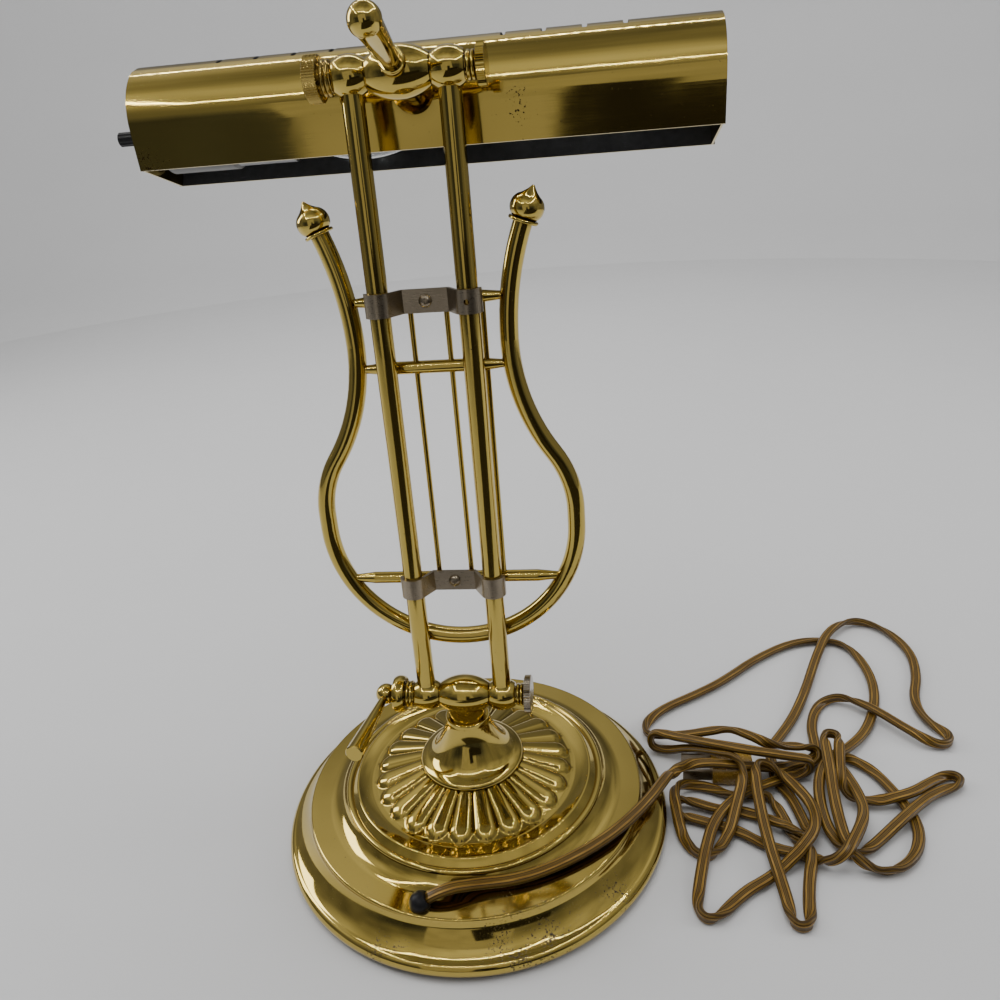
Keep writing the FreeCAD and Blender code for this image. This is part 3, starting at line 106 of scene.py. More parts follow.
def soft_light(name, place, target, width, height, watts, mirrored=False):
    """An area light that the camera doesn't see, and that mirrors see only if mirrored is set."""
    data = bpy.data.lights.new(name, "AREA")
    data.shape = "RECTANGLE"
    data.size = width
    data.size_y = height
    data.energy = watts
    light = bpy.data.objects.new(name, data)
    light.location = place
    light.rotation_mode = "QUATERNION"
    light.rotation_quaternion = (Vector(target) - Vector(place)).to_track_quat("-Z", "Y")
    light.visible_camera = False
    light.visible_glossy = mirrored
    bpy.context.scene.collection.objects.link(light)


# ---------------------------------------------------------------- materials
BRASS_LIGHT = (0.60, 0.455, 0.115, 1)
BRASS_DEEP = (0.50, 0.365, 0.078, 1)
# The colour that the brass takes in hollows and narrow gaps, by the ambient occlusion within CREVICE_REACH:
# partly the patina of the hollows, partly painted shade in crevices and between parts.
BRASS_HOLLOW_PATINA_AND_SHADE = (0.16, 0.100, 0.022, 1)
BRASS_PIT = (0.035, 0.020, 0.008, 1)
CREVICE_REACH = 0.005
CREVICE_DEEP = 0.30
CREVICE_OPEN = 0.85
# Pits: the noise levels where they begin and are whole, what they add to roughness, and how metallic
# they are.
PIT_FROM = 0.70
PIT_WHOLE = 0.74
PIT_ROUGHNESS = 0.45
PIT_METALLIC = 0.3
# A point on the shade's round axis. The sheet is painted where its distance from that axis, measured
# along its normal, is less than this.
SHADE_AXIS_POINT = (0.0, -0.0644, 0.3533)
PAINTED_BELOW = 0.008
PAINT_DARK = (0.055, 0.056, 0.058, 1)
PAINT_PALE = (0.095, 0.096, 0.098, 1)
SHADE_STAINS = [
    ((-0.043, -0.0405, 0.350), 0.011),
    ((0.124, -0.045, 0.335), 0.018),
]
BASE_STAINS = [
    ((-0.036, 0.086, 0.012), 0.034),
    ((0.03, 0.098, 0.006), 0.018),
    ((-0.075, 0.062, 0.012), 0.016),
]
# The lower bolt is nickel beyond this x, and the bulb's mount is wire below this x.
NICKEL_BEYOND = -0.0308
WIRE_BELOW = 0.0385


class Shader:
    """A node material and short ways to add to it."""

    def __init__(self, name, **sockets):
        self.material = bpy.data.materials.new(name)
        self.material.use_nodes = True
        self.tree = self.material.node_tree
        self.surface = self.tree.nodes["Principled BSDF"]
        for socket, value in sockets.items():
            self.surface.inputs[socket.replace("_", " ")].default_value = value

    def node(self, kind, settings=None, **inputs):
        made = self.tree.nodes.new(kind)
        for key, value in (settings or {}).items():
            setattr(made, key, value)
        for key, value in inputs.items():
            self.feed(made.inputs[key.replace("_", " ")], value)
        return made

    def feed(self, socket, value):
        if isinstance(value, bpy.types.NodeSocket):
            self.tree.links.new(value, socket)
        else:
            socket.default_value = value

    def math(self, operation, a, b=0.0):
        made = self.tree.nodes.new("ShaderNodeMath")
        made.operation = operation
        self.feed(made.inputs[0], a)
        self.feed(made.inputs[1], b)
        return made.outputs[0]

    def vector(self, operation, a, b=(0, 0, 0)):
        made = self.tree.nodes.new("ShaderNodeVectorMath")
        made.operation = operation
        self.feed(made.inputs[0], a)
        self.feed(made.inputs[1], b)
        gives_number = operation in ("DISTANCE", "DOT_PRODUCT", "LENGTH")
        return made.outputs["Value"] if gives_number else made.outputs[0]

    def place(self):
        return self.node("ShaderNodeTexCoord").outputs["Object"]

    def noise(self, scale, detail=2.0, roughness=0.5, at=None):
        made = self.node("ShaderNodeTexNoise", Scale=scale, Detail=detail, Roughness=roughness)
        self.feed(made.inputs["Vector"], at or self.place())
        return made.outputs["Fac"]

    def between(self, value, low, high, to_low=0.0, to_high=1.0):
        made = self.node("ShaderNodeMapRange", From_Min=low, From_Max=high, To_Min=to_low, To_Max=to_high)
        self.feed(made.inputs["Value"], value)
        return made.outputs["Result"]

    def mix(self, share, a, b):
        made = self.tree.nodes.new("ShaderNodeMix")
        made.data_type = "RGBA"
        self.feed(made.inputs["Factor"], share)
        self.feed(made.inputs["A"], a)
        self.feed(made.inputs["B"], b)
        return made.outputs["Result"]

    def bump(self, height, strength, distance, under=None):
        made = self.node("ShaderNodeBump", Strength=strength, Distance=distance)
        self.feed(made.inputs["Height"], height)
        if under:
            self.feed(made.inputs["Normal"], under)
        return made.outputs["Normal"]

    def set(self, **sockets):
        for socket, value in sockets.items():
            self.feed(self.surface.inputs[socket.replace("_", " ")], value)


def brass(name, stains=(), lathe=False, polish=0.07, grain=None):
    """Lacquered brass, as a Shader.

    stains are (centre, reach) of pitted places, polish is its least roughness, lathe adds the turning
    marks of a form spun about Z, and grain stretches fine polishing lines along one axis.
    """
    s = Shader(name, Coat_Weight=0.22, Coat_Roughness=0.06, Coat_IOR=1.5)
    tone = s.mix(s.noise(14.0, 3.0), BRASS_LIGHT, BRASS_DEEP)
    # Painted shade: the ambient occlusion darkens the brass in crevices and where parts come close, standing
    # also for patina in the hollows.
    occlusion = s.node("ShaderNodeAmbientOcclusion", {"samples": 4}, Distance=CREVICE_REACH).outputs["AO"]
    tone = s.mix(s.between(occlusion, CREVICE_DEEP, CREVICE_OPEN), BRASS_HOLLOW_PATINA_AND_SHADE, tone)
    speck = s.noise(900.0, 3.0, 0.65)
    cloud = s.noise(75.0, 3.0)
    reach = s.between(cloud, 0.64, 0.80, 0.0, 0.06)
    for centre, radius in stains:
        near = s.between(s.vector("DISTANCE", s.place(), centre), radius, 0.0, 0.0, 0.24)
        reach = s.math("MAXIMUM", reach, s.math("MULTIPLY", near, s.between(cloud, 0.38, 0.56)))
    pitted = s.between(s.math("ADD", speck, reach), PIT_FROM, PIT_WHOLE)
    tone = s.mix(pitted, tone, BRASS_PIT)
    smear = s.noise(38.0, 4.0, 0.6)
    rough = s.between(smear, 0.4, 0.75, polish, polish + 0.05)
    rough = s.math("ADD", rough, s.math("MULTIPLY", pitted, PIT_ROUGHNESS))
    wave = s.bump(s.noise(42.0, 1.0), 0.22, 0.0006)
    if lathe:
        flat = s.vector("MULTIPLY", s.place(), (1, 1, 0))
        ring = s.node("ShaderNodeCombineXYZ", X=s.vector("LENGTH", flat)).outputs["Vector"]
        turned = s.noise(1500.0, 2.0, 0.6, ring)
        wave = s.bump(turned, 0.10, 0.00005, wave)
        rough = s.math("ADD", rough, s.between(turned, 0.35, 0.7, 0.0, 0.03))
    if grain:
        drawn = s.noise(1900.0, 2.0, 0.6, s.vector("MULTIPLY", s.place(), grain))
        wave = s.bump(drawn, 0.07, 0.00004, wave)
        rough = s.math("ADD", rough, s.between(drawn, 0.35, 0.7, 0.0, 0.04))
    s.set(
        Base_Color=tone,
        Roughness=rough,
        Normal=wave,
        Metallic=s.between(pitted, 0.0, 1.0, 1.0, PIT_METALLIC),
    )
    return s


def brushed(name, dark, light, polish, grain_along):
    """Satin metal with fine grain along one axis, as a material."""
    s = Shader(name, Metallic=1.0)
    stretched = s.vector("MULTIPLY", s.place(), grain_along)
    grain = s.noise(2600.0, 3.0, 0.6, stretched)
    s.set(
        Base_Color=s.mix(s.noise(60.0, 3.0), dark, light),
        Roughness=s.between(grain, 0.3, 0.7, polish, polish + 0.16),
        Normal=s.bump(grain, 0.12, 0.00006),
    )
    return s.material


def moulded(name, colour, paler, rough, **sockets):
    """Moulded plastic or phenolic with a faint orange peel."""
    s = Shader(name, **sockets)
    s.set(
        Base_Color=s.mix(s.noise(240.0, 3.0), colour, paler),
        Roughness=s.between(s.noise(90.0, 3.0), 0.3, 0.7, rough, rough + 0.15),
        Normal=s.bump(s.noise(1800.0, 2.0), 0.12, 0.00008),
    )
    return s.material


def shade_brass():
    """Brass outside and grey heat-proof paint inside, told apart by which way the sheet faces."""
    s = brass("shade_brass", SHADE_STAINS, polish=0.045, grain=(0.02, 1, 1))
    sheet = s.node("ShaderNodeTexCoord")
    away = s.vector("SUBTRACT", sheet.outputs["Object"], SHADE_AXIS_POINT)
    away = s.vector("MULTIPLY", away, (0, 1, 1))
    facing = s.vector("DOT_PRODUCT", away, sheet.outputs["Normal"])
    inside = s.math("LESS_THAN", facing, PAINTED_BELOW)
    brass_tone = s.surface.inputs["Base Color"].links[0].from_socket
    brass_rough = s.surface.inputs["Roughness"].links[0].from_socket
    paint = s.mix(s.noise(300.0, 3.0), PAINT_DARK, PAINT_PALE)
    s.set(
        Base_Color=s.mix(inside, brass_tone, paint),
        Roughness=s.math("ADD", s.math("MULTIPLY", inside, 0.16), brass_rough),
        Metallic=s.math("SUBTRACT", 1.0, inside),
    )
    return s.material


def disc_and_beads():
    """The lower bolt: brass beads, and a nickel disc beyond them."""
    s = brass("bolt_brass_and_nickel")
    x = s.node("ShaderNodeSeparateXYZ", Vector=s.place()).outputs["X"]
    disc = s.math("LESS_THAN", x, NICKEL_BEYOND)
    tone = s.surface.inputs["Base Color"].links[0].from_socket
    rough = s.surface.inputs["Roughness"].links[0].from_socket
    plate = s.mix(s.noise(160.0, 3.0), (0.30, 0.26, 0.20, 1), (0.44, 0.39, 0.31, 1))
    s.set(
        Base_Color=s.mix(disc, tone, plate),
        Roughness=s.math("ADD", rough, s.math("MULTIPLY", disc, 0.12)),
    )
    return s.material


def clear_glass():
    s = Shader("clear_glass", Base_Color=(0.98, 0.99, 0.98, 1), Transmission_Weight=1.0, IOR=1.46)
    s.set(Roughness=s.between(s.noise(120.0, 2.0), 0.45, 0.8, 0.01, 0.05))
    return s.material


def bulb_inside():
    """The glass stem, and the bare wires and filament beyond it."""
    s = Shader("bulb_stem_and_wire", IOR=1.46)
    x = s.node("ShaderNodeSeparateXYZ", Vector=s.place()).outputs["X"]
    wire = s.math("LESS_THAN", x, WIRE_BELOW)
    tungsten = s.mix(s.noise(700.0, 2.0), (0.16, 0.155, 0.15, 1), (0.30, 0.29, 0.28, 1))
    s.set(
        Base_Color=s.mix(wire, (0.96, 0.97, 0.96, 1), tungsten),
        Transmission_Weight=s.math("SUBTRACT", 1.0, wire),
        Metallic=wire,
        Roughness=s.math("ADD", 0.03, s.math("MULTIPLY", wire, 0.3)),
    )
    return s.material


def felt():
    s = Shader("green_felt", Sheen_Weight=0.6, Sheen_Roughness=0.5)
    fibre = s.noise(2200.0, 4.0, 0.75)
    s.set(
        Base_Color=s.mix(fibre, (0.02, 0.045, 0.025, 1), (0.045, 0.09, 0.05, 1)),
        Roughness=s.between(fibre, 0.3, 0.7, 0.85, 1.0),
        Normal=s.bump(fibre, 0.7, 0.0005),
    )
    return s.material


def cast_iron():
    s = Shader("cast_iron", Metallic=0.7)
    grit = s.noise(700.0, 4.0, 0.7)
    s.set(
        Base_Color=s.mix(grit, (0.05, 0.048, 0.045, 1), (0.12, 0.11, 0.10, 1)),
        Roughness=s.between(grit, 0.3, 0.7, 0.55, 0.8),
        Normal=s.bump(grit, 0.6, 0.0004),
    )
    return s.material


def cord_vinyl():
    """Clear gold vinyl over two bare copper strands; UV is (metres along, share across)."""
    s = Shader(
        "gold_cord_vinyl", IOR=1.45, Specular_IOR_Level=0.22, Coat_Weight=0.03, Transmission_Weight=0.05,
    )
    uv = s.node("ShaderNodeSeparateXYZ", Vector=s.node("ShaderNodeTexCoord").outputs["UV"])
    along = uv.outputs["X"]
    across = uv.outputs["Y"]
    # Each lobe runs from 0 to 0.5 or from 0.5 to 1 across, with its conductor in the middle third.
    lobe = s.math("PINGPONG", across, 0.25)
    cloud = s.noise(45.0, 3.0)
    fine = s.node(
        "ShaderNodeCombineXYZ",
        X=s.math("MULTIPLY", along, 60.0),
        Y=s.math("MULTIPLY", across, 22.0),
    )
    strands = s.noise(1.0, 3.0, 0.6, fine.outputs["Vector"])
    gold = s.mix(cloud, (0.076, 0.038, 0.004, 1), (0.175, 0.102, 0.013, 1))
    core = s.mix(s.between(strands, 0.35, 0.65), (0.105, 0.048, 0.006, 1), (0.42, 0.250, 0.050, 1))
    # Painted shade: this dark colour is laid in the groove between the lobes, along the cord's outer edges
    # and in the bands beside each conductor.
    seam_shade = (0.018, 0.008, 0.001, 1)
    tone = s.mix(s.between(lobe, 0.085, 0.125), gold, seam_shade)
    tone = s.mix(s.between(lobe, 0.150, 0.185), tone, core)
    tone = s.mix(s.between(lobe, 0.0, 0.035), seam_shade, tone)
    s.set(
        Base_Color=tone,
        Roughness=s.between(s.noise(700.0, 2.0), 0.3, 0.7, 0.30, 0.46),
        Normal=s.bump(strands, 0.10, 0.00006),
        Metallic=s.math("MULTIPLY", s.between(lobe, 0.15, 0.185), 0.35),
    )
    return s.material


def amber_plug():
    s = Shader("amber_plug", IOR=1.53, Transmission_Weight=0.45, Coat_Weight=0.3)
    s.set(
        Base_Color=s.mix(s.noise(160.0, 3.0), (0.36, 0.20, 0.025, 1), (0.55, 0.34, 0.06, 1)),
        Roughness=s.between(s.noise(500.0, 2.0), 0.3, 0.7, 0.18, 0.32),
        Normal=s.bump(s.noise(900.0, 2.0), 0.1, 0.0001),
    )
    return s.material


def pale_floor():
    s = Shader("pale_floor")
    s.set(
        Base_Color=s.mix(s.noise(3.0, 3.0), (0.60, 0.60, 0.605, 1), (0.64, 0.64, 0.64, 1)),
        Roughness=s.between(s.noise(40.0, 2.0), 0.3, 0.7, 0.5, 0.6),
    )
    return s.material


# ---------------------------------------------------------------- lamp cord
CORD_WIDTH = 0.006
CORD_THICK = 0.0034
LOBE_RADIUS = CORD_THICK / 2
LOBE_OFFSET = (CORD_WIDTH - CORD_THICK) / 2
# Curvatures, in 1/m, below which the cord lies flat and above which it stands on edge.
EASY_BEND = 15.0
FULL_BEND = 70.0
# How much of the last point's lie the next one keeps, and how often the lie is then smoothed.
KEEP_LIE = 0.15
SMOOTH_TURNS = 6
LOBE_POINTS = 10
FLOOR_GAP = 0.0005
LINE_RESOLUTION = 9

# The control points of the cord's one spline.
CORD_ROUTE = [
    # out of the bushing, along the shelf and over the base's rim
    (0.0115, 0.0788, 0.0251), (0.0043, 0.0770, 0.0294), (-0.0100, 0.0715, 0.0266),
    (-0.0300, 0.0675, 0.0258), (-0.0500, 0.0575, 0.0260), (-0.0680, 0.0445, 0.0264),
    (-0.0830, 0.0290, 0.0266), (-0.0950, 0.0110, 0.0255), (-0.1030, -0.0070, 0.0210),
    # over the plug, to the flat bundle's far end
    (-0.1045, -0.0100, 0.0170), (-0.1103, -0.0186, 0.0160), (-0.1211, -0.0219, 0.0155),
    (-0.1339, -0.0223, 0.0145), (-0.1430, -0.0227, 0.0130), (-0.1530, -0.0240, 0.0110),
    (-0.1644, -0.0249, 0.0094), (-0.1767, -0.0325, 0.0060), (-0.1870, -0.0350, 0.0035),
    (-0.1890, -0.0435, 0.0070),
    # back along the flat bundle
    (-0.1780, -0.0425, 0.0095), (-0.1622, -0.0355, 0.0155), (-0.1506, -0.0399, 0.0190),
    (-0.1397, -0.0451, 0.0195), (-0.1273, -0.0449, 0.0175), (-0.1135, -0.0475, 0.0120),
    (-0.1019, -0.0537, 0.0070),
    # near loop
    (-0.0950, -0.0560, 0.0040), (-0.0920, -0.0660, 0.0031), (-0.1040, -0.0820, 0.0028),
    (-0.1260, -0.0960, 0.0028), (-0.1450, -0.1100, 0.0028), (-0.1700, -0.1350, 0.0028),
    (-0.2000, -0.1550, 0.0028), (-0.2290, -0.1540, 0.0028), (-0.2370, -0.1260, 0.0028),
    (-0.2350, -0.0960, 0.0028), (-0.2220, -0.0650, 0.0028), (-0.2060, -0.0470, 0.0040),
    # upright bundle, its outer strand
    (-0.1960, -0.0376, 0.0085), (-0.1868, -0.0271, 0.0090), (-0.1810, -0.0100, 0.0080),
    (-0.1806, 0.0093, 0.0055), (-0.1842, 0.0209, 0.0035), (-0.1884, 0.0283, 0.0031),
    # long narrow fold
    (-0.1971, 0.0252, 0.0031), (-0.2089, 0.0147, 0.0035), (-0.2179, 0.0073, 0.0060),
    (-0.2292, -0.0029, 0.0060), (-0.2413, -0.0141, 0.0040), (-0.2600, -0.0222, 0.0031),
    (-0.2556, -0.0300, 0.0031), (-0.2415, -0.0215, 0.0040), (-0.2300, -0.0121, 0.0060),
    (-0.2159, -0.0070, 0.0060), (-0.2066, -0.0070, 0.0040),
    # upright bundle, up to its tip and down
    (-0.1959, -0.0089, 0.0050), (-0.1947, -0.0201, 0.0090), (-0.1987, -0.0397, 0.0120),
    (-0.2005, -0.0485, 0.0130), (-0.1925, -0.0500, 0.0130), (-0.1915, -0.0400, 0.0128),
    (-0.1896, -0.0210, 0.0125), (-0.1875, -0.0022, 0.0100), (-0.1872, 0.0128, 0.0080),
    (-0.1876, 0.0240, 0.0070),
    # round loop beside it
    (-0.1906, 0.0337, 0.0065), (-0.1987, 0.0369, 0.0035), (-0.2077, 0.0363, 0.0028),
    (-0.2190, 0.0278, 0.0028), (-0.2261, 0.0130, 0.0028), (-0.2259, -0.0009, 0.0028),
    (-0.2213, -0.0169, 0.0028), (-0.2154, -0.0309, 0.0028), (-0.2075, -0.0385, 0.0031),
    # upright bundle, its inner strand
    (-0.2000, -0.0425, 0.0032), (-0.1960, -0.0350, 0.0050), (-0.1990, -0.0239, 0.0070),
    (-0.2007, -0.0050, 0.0105), (-0.2001, 0.0075, 0.0100), (-0.1931, 0.0208, 0.0095),
    (-0.1845, 0.0333, 0.0108),
    # along the floor to the base's rim
    (-0.1774, 0.0358, 0.0070), (-0.1710, 0.0304, 0.0028), (-0.1628, 0.0270, 0.0028),
    (-0.1541, 0.0246, 0.0028), (-0.1465, 0.0209, 0.0028), (-0.1362, 0.0130, 0.0028),
    (-0.1239, 0.0092, 0.0028), (-0.1150, 0.0060, 0.0028), (-0.1060, 0.0040, 0.0035),
    (-0.1060, -0.0045, 0.0060),
    # back from the rim
    (-0.1150, -0.0040, 0.0050), (-0.1280, -0.0005, 0.0028), (-0.1401, 0.0003, 0.0028),
    (-0.1482, 0.0036, 0.0031), (-0.1555, 0.0098, 0.0060), (-0.1629, 0.0142, 0.0065),
    (-0.1697, 0.0214, 0.0065),
    # long drop towards the camera and back
    (-0.1696, 0.0322, 0.0062), (-0.1665, 0.0414, 0.0031), (-0.1630, 0.0562, 0.0028),
    (-0.1618, 0.0690, 0.0031), (-0.1535, 0.0690, 0.0031), (-0.1535, 0.0553, 0.0035),
    (-0.1513, 0.0388, 0.0065), (-0.1492, 0.0209, 0.0095), (-0.1489, 0.0003, 0.0115),
    (-0.1491, -0.0138, 0.0140), (-0.1510, -0.0228, 0.0155), (-0.1580, -0.0232, 0.0138),
    # outer arc
    (-0.1655, -0.0180, 0.0100), (-0.1730, -0.0090, 0.0078), (-0.1772, 0.0047, 0.0080),
    (-0.1729, 0.0193, 0.0100), (-0.1646, 0.0301, 0.0100), (-0.1561, 0.0356, 0.0031),
    (-0.1457, 0.0441, 0.0028), (-0.1349, 0.0509, 0.0028),
    # wide drop and up to the flat bundle
    (-0.1181, 0.0688, 0.0031), (-0.1111, 0.0630, 0.0031), (-0.1142, 0.0465, 0.0028),
    (-0.1180, 0.0319, 0.0060), (-0.1239, 0.0131, 0.0063), (-0.1331, -0.0006, 0.0065),
    (-0.1436, -0.0099, 0.0065), (-0.1567, -0.0164, 0.0065), (-0.1664, -0.0210, 0.0065),
    (-0.1720, -0.0255, 0.0045), (-0.1805, -0.0275, 0.0050), (-0.1815, -0.0278, 0.0135),
    # flat bundle, there and back
    (-0.1720, -0.0272, 0.0155), (-0.1623, -0.0263, 0.0180), (-0.1454, -0.0261, 0.0215),
    (-0.1293, -0.0319, 0.0200), (-0.1131, -0.0431, 0.0140), (-0.1045, -0.0475, 0.0130),
    (-0.0955, -0.0500, 0.0125), (-0.0960, -0.0470, 0.0031), (-0.1060, -0.0440, 0.0040),
    (-0.1164, -0.0397, 0.0100), (-0.1293, -0.0310, 0.0160), (-0.1396, -0.0242, 0.0190),
    # down to the floor and round to the rim
    (-0.1438, -0.0179, 0.0160), (-0.1416, -0.0090, 0.0125), (-0.1387, -0.0012, 0.0105),
    (-0.1361, 0.0059, 0.0080), (-0.1329, 0.0147, 0.0060), (-0.1287, 0.0220, 0.0031),
    (-0.1220, 0.0309, 0.0031), (-0.1149, 0.0299, 0.0031), (-0.1095, 0.0222, 0.0031),
    (-0.1075, 0.0120, 0.0031), (-0.1062, 0.0050, 0.0085), (-0.1056, -0.0040, 0.0115),
    # low strand from the rim and the inner arcs
    (-0.1085, -0.0130, 0.0080), (-0.1156, -0.0177, 0.0035), (-0.1257, -0.0165, 0.0028),
    (-0.1362, -0.0110, 0.0028), (-0.1473, -0.0113, 0.0031), (-0.1561, -0.0113, 0.0031),
    (-0.1601, -0.0003, 0.0031), (-0.1625, 0.0110, 0.0028), (-0.1640, 0.0205, 0.0031),
    (-0.1722, 0.0205, 0.0031), (-0.1715, 0.0110, 0.0031), (-0.1698, -0.0005, 0.0028),
    (-0.1670, -0.0139, 0.0028), (-0.1617, -0.0215, 0.0031), (-0.1626, -0.0347, 0.0031),
    (-0.1618, -0.0446, 0.0031), (-0.1665, -0.0519, 0.0031),
    # far loop
    (-0.1800, -0.0720, 0.0028), (-0.1930, -0.0980, 0.0035), (-0.2060, -0.1300, 0.0060),
    (-0.2210, -0.1620, 0.0060), (-0.2400, -0.1780, 0.0040), (-0.2590, -0.1700, 0.0028),
    (-0.2690, -0.1430, 0.0028), (-0.2650, -0.1160, 0.0028), (-0.2550, -0.0920, 0.0028),
    (-0.2560, -0.0730, 0.0028), (-0.2670, -0.0570, 0.0031), (-0.2560, -0.0490, 0.0040),
    (-0.2410, -0.0620, 0.0065), (-0.2270, -0.0810, 0.0065), (-0.2120, -0.0940, 0.0044),
    (-0.1980, -0.0870, 0.0028), (-0.1900, -0.0680, 0.0028), (-0.1890, -0.0500, 0.0031),
    # under the flat bundle and into the plug
    (-0.1860, -0.0400, 0.0031), (-0.1760, -0.0330, 0.0031), (-0.1680, -0.0300, 0.0060),
    (-0.1580, -0.0290, 0.0065), (-0.1500, -0.0290, 0.0062),
]


def smooth_line(name, route):
    """The points of the NURBS spline that the route's points control."""
    curve = bpy.data.curves.new(name, "CURVE")
    curve.dimensions = "3D"
    spline = curve.splines.new("NURBS")
    spline.points.add(len(route) - 1)
    for point, place in zip(spline.points, route):
        point.co = (*place, 1)
    spline.order_u = 3
    spline.use_endpoint_u = True
    spline.resolution_u = LINE_RESOLUTION
    holder = bpy.data.objects.new(name, curve)
    mesh = bpy.data.meshes.new_from_object(holder)
    line = [v.co.copy() for v in mesh.vertices]
    bpy.data.objects.remove(holder)
    bpy.data.curves.remove(curve)
    bpy.data.meshes.remove(mesh)
    return line


def across(vector, tangent):
    """The part of a vector that is square to the tangent."""
    return vector - vector.dot(tangent) * tangent


def lie_of(line):
    """The tangent, and the thin direction of a flat cord that lies along the line, at each point.

    The cord lies flat, and in a tight bend it turns on edge, as a flat cord bends only over its thin side.
    """
    tangents = []
    for i in range(len(line)):
        ahead = line[min(i + 1, len(line) - 1)]
        behind = line[max(i - 1, 0)]
        tangents.append((ahead - behind).normalized())
    thin = []
    last = UP
    for i, tangent in enumerate(tangents):
        before, after = max(i - 2, 0), min(i + 2, len(line) - 1)
        length = max((line[after] - line[before]).length, TINY)
        bend = (tangents[after] - tangents[before]) / length
        on_edge = min(1.0, max(0.0, (bend.length - EASY_BEND) / (FULL_BEND - EASY_BEND)))
        flat = across(UP, tangent)
        flat *= 1 if flat.dot(last) >= 0 else -1
        side = across(bend, tangent)
        if side.length > TINY:
            side = side.normalized() * (1 if side.dot(last) >= 0 else -1)
        wanted = across((1 - on_edge) * flat + on_edge * side + KEEP_LIE * last, tangent)
        last = wanted.normalized() if wanted.length > TINY else across(last, tangent).normalized()
        thin.append(last)
    for _ in range(SMOOTH_TURNS):
        before = thin[:1] + thin[:-1]
        after = thin[1:] + thin[-1:]
        thin = [across(a + 2 * b + c, t).normalized() for a, b, c, t in zip(before, thin, after, tangents)]
    # Near the floor a tilted cord is laid flatter; one that stands fully on edge stays as it is.
    for i, (place, tangent) in enumerate(zip(line, tangents)):
        wide = tangent.cross(thin[i])
        room = max(0.0, (place.z - LOBE_RADIUS - FLOOR_GAP) / LOBE_OFFSET)
        if abs(wide.z) > room:
            wide.z = math.copysign(room, wide.z)
            thin[i] = across(wide, tangent).normalized().cross(tangent)
    return tangents, thin


def cord_section():
    """(across, thick, share across) of the twin cord's outline: two lobes that meet in a groove."""
    meet = math.acos(-LOBE_OFFSET / LOBE_RADIUS)
    points = []
    for side in (1, -1):
        for n in range(LOBE_POINTS):
            turn = (2 * (n + 0.5) / LOBE_POINTS - 1) * meet
            x = side * (LOBE_OFFSET + LOBE_RADIUS * math.cos(turn))
            points.append((x, side * LOBE_RADIUS * math.sin(turn), 0.5 + x / CORD_WIDTH))
    return points


def sweep(name, line, section, material):
    """A closed tube of a flat section along a line, with UVs of metres along and share across."""
    tangents, thin = lie_of(line)
    count = len(section)
    verts = []
    along = [0.0]
    for i, place in enumerate(line):
        wide = tangents[i].cross(thin[i])
        verts += [tuple(place + x * wide + y * thin[i]) for x, y, _ in section]
        if i:
            along.append(along[-1] + (place - line[i - 1]).length)
    faces = [
        (i * count + j, i * count + (j + 1) % count, (i + 1) * count + (j + 1) % count, (i + 1) * count + j)
        for i in range(len(line) - 1)
        for j in range(count)
    ]
    faces.append(tuple(reversed(range(count))))
    faces.append(tuple((len(line) - 1) * count + j for j in range(count)))
    mesh = bpy.data.meshes.new(name)
    mesh.from_pydata(verts, [], faces)
    uv = mesh.uv_layers.new(name="along_and_across")
    for loop in mesh.loops:
        ring, j = divmod(loop.vertex_index, count)
        uv.data[loop.index].uv = (along[ring], section[j][2])
    mesh.shade_smooth()
    return new_object(name, mesh, material)


def make_cord(material):
    """The lamp cord, from the bushing to the plug."""
    line = smooth_line("cord_line", CORD_ROUTE)
    cord = sweep("lamp_cord", line, cord_section(), material)
    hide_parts("cord_lead", "cord_near_loop", "cord_far_loop", "cord_hank")
    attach(cord, "base")


# ---------------------------------------------------------------- turned forms
def lathe_mesh(name, profile, sides):
    """A profile of (radius, height) turned about Z; one that ends where it starts is closed."""
    closed = profile[0] == profile[-1]
    rings = profile[:-1] if closed else profile
    verts = []
    for radius, height in rings:
        for n in range(sides):
            turn = 2 * math.pi * n / sides
            verts.append((radius * math.cos(turn), radius * math.sin(turn), height))
    faces = []
    for i in range(len(profile) - 1):
        j = (i + 1) % len(rings)
        for n in range(sides):
            m = (n + 1) % sides
            faces.append((i * sides + n, i * sides + m, j * sides + m, j * sides + n))
    mesh = bpy.data.meshes.new(name)
    mesh.from_pydata(verts, [], faces)
    mesh.shade_smooth()
    return mesh


# ---------------------------------------------------------------- embossed base shell
# The shell's outline as (radius, height) in mm, from under the rolled rim to the ring outside the petals.
# A triple of points is an arc through them.
SHELL_OUTLINE = [
    ((97.60, 0.40), (101.57, 3.88), (98.64, 8.26)),
    ((98.64, 8.26), (92.42, 12.93), (88.00, 19.40)),
    ((88.00, 21.30), (87.65, 22.15), (86.80, 22.50)),
    ((78.00, 22.50), (72.46, 23.91), (68.27, 27.78)),
    ((68.27, 27.78), (67.20, 29.78), (65.07, 29.18)),
    ((62.27, 31.78), (61.47, 32.18), (60.67, 31.78)),
    ((55.00, 30.55), (54.20, 30.34), (53.47, 30.28)),
]
ARC_STEPS = 9
# The hollow under it, from the hole for the pipe out to the rim.
SHELL_HOLLOW = [
    (5.05, 38.4), (5.05, 37.2), (26.0, 37.2), (51.67, 28.48), (60.87, 30.38), (66.47, 26.34),
    (71.57, 22.36), (77.40, 21.30), (86.80, 21.30), (86.80, 18.20), (99.40, 4.40), (99.00, 0.60),
]
# Where the neck stands, and where the cone of petals ends.
SEAT = (27.34, 38.40)
FIELD_FOOT = (51.67, 30.28)
PETAL_COUNT = 24
PETAL_STEPS = 20
PETAL_ROOT = 27.35
PETAL_TIP = 51.90
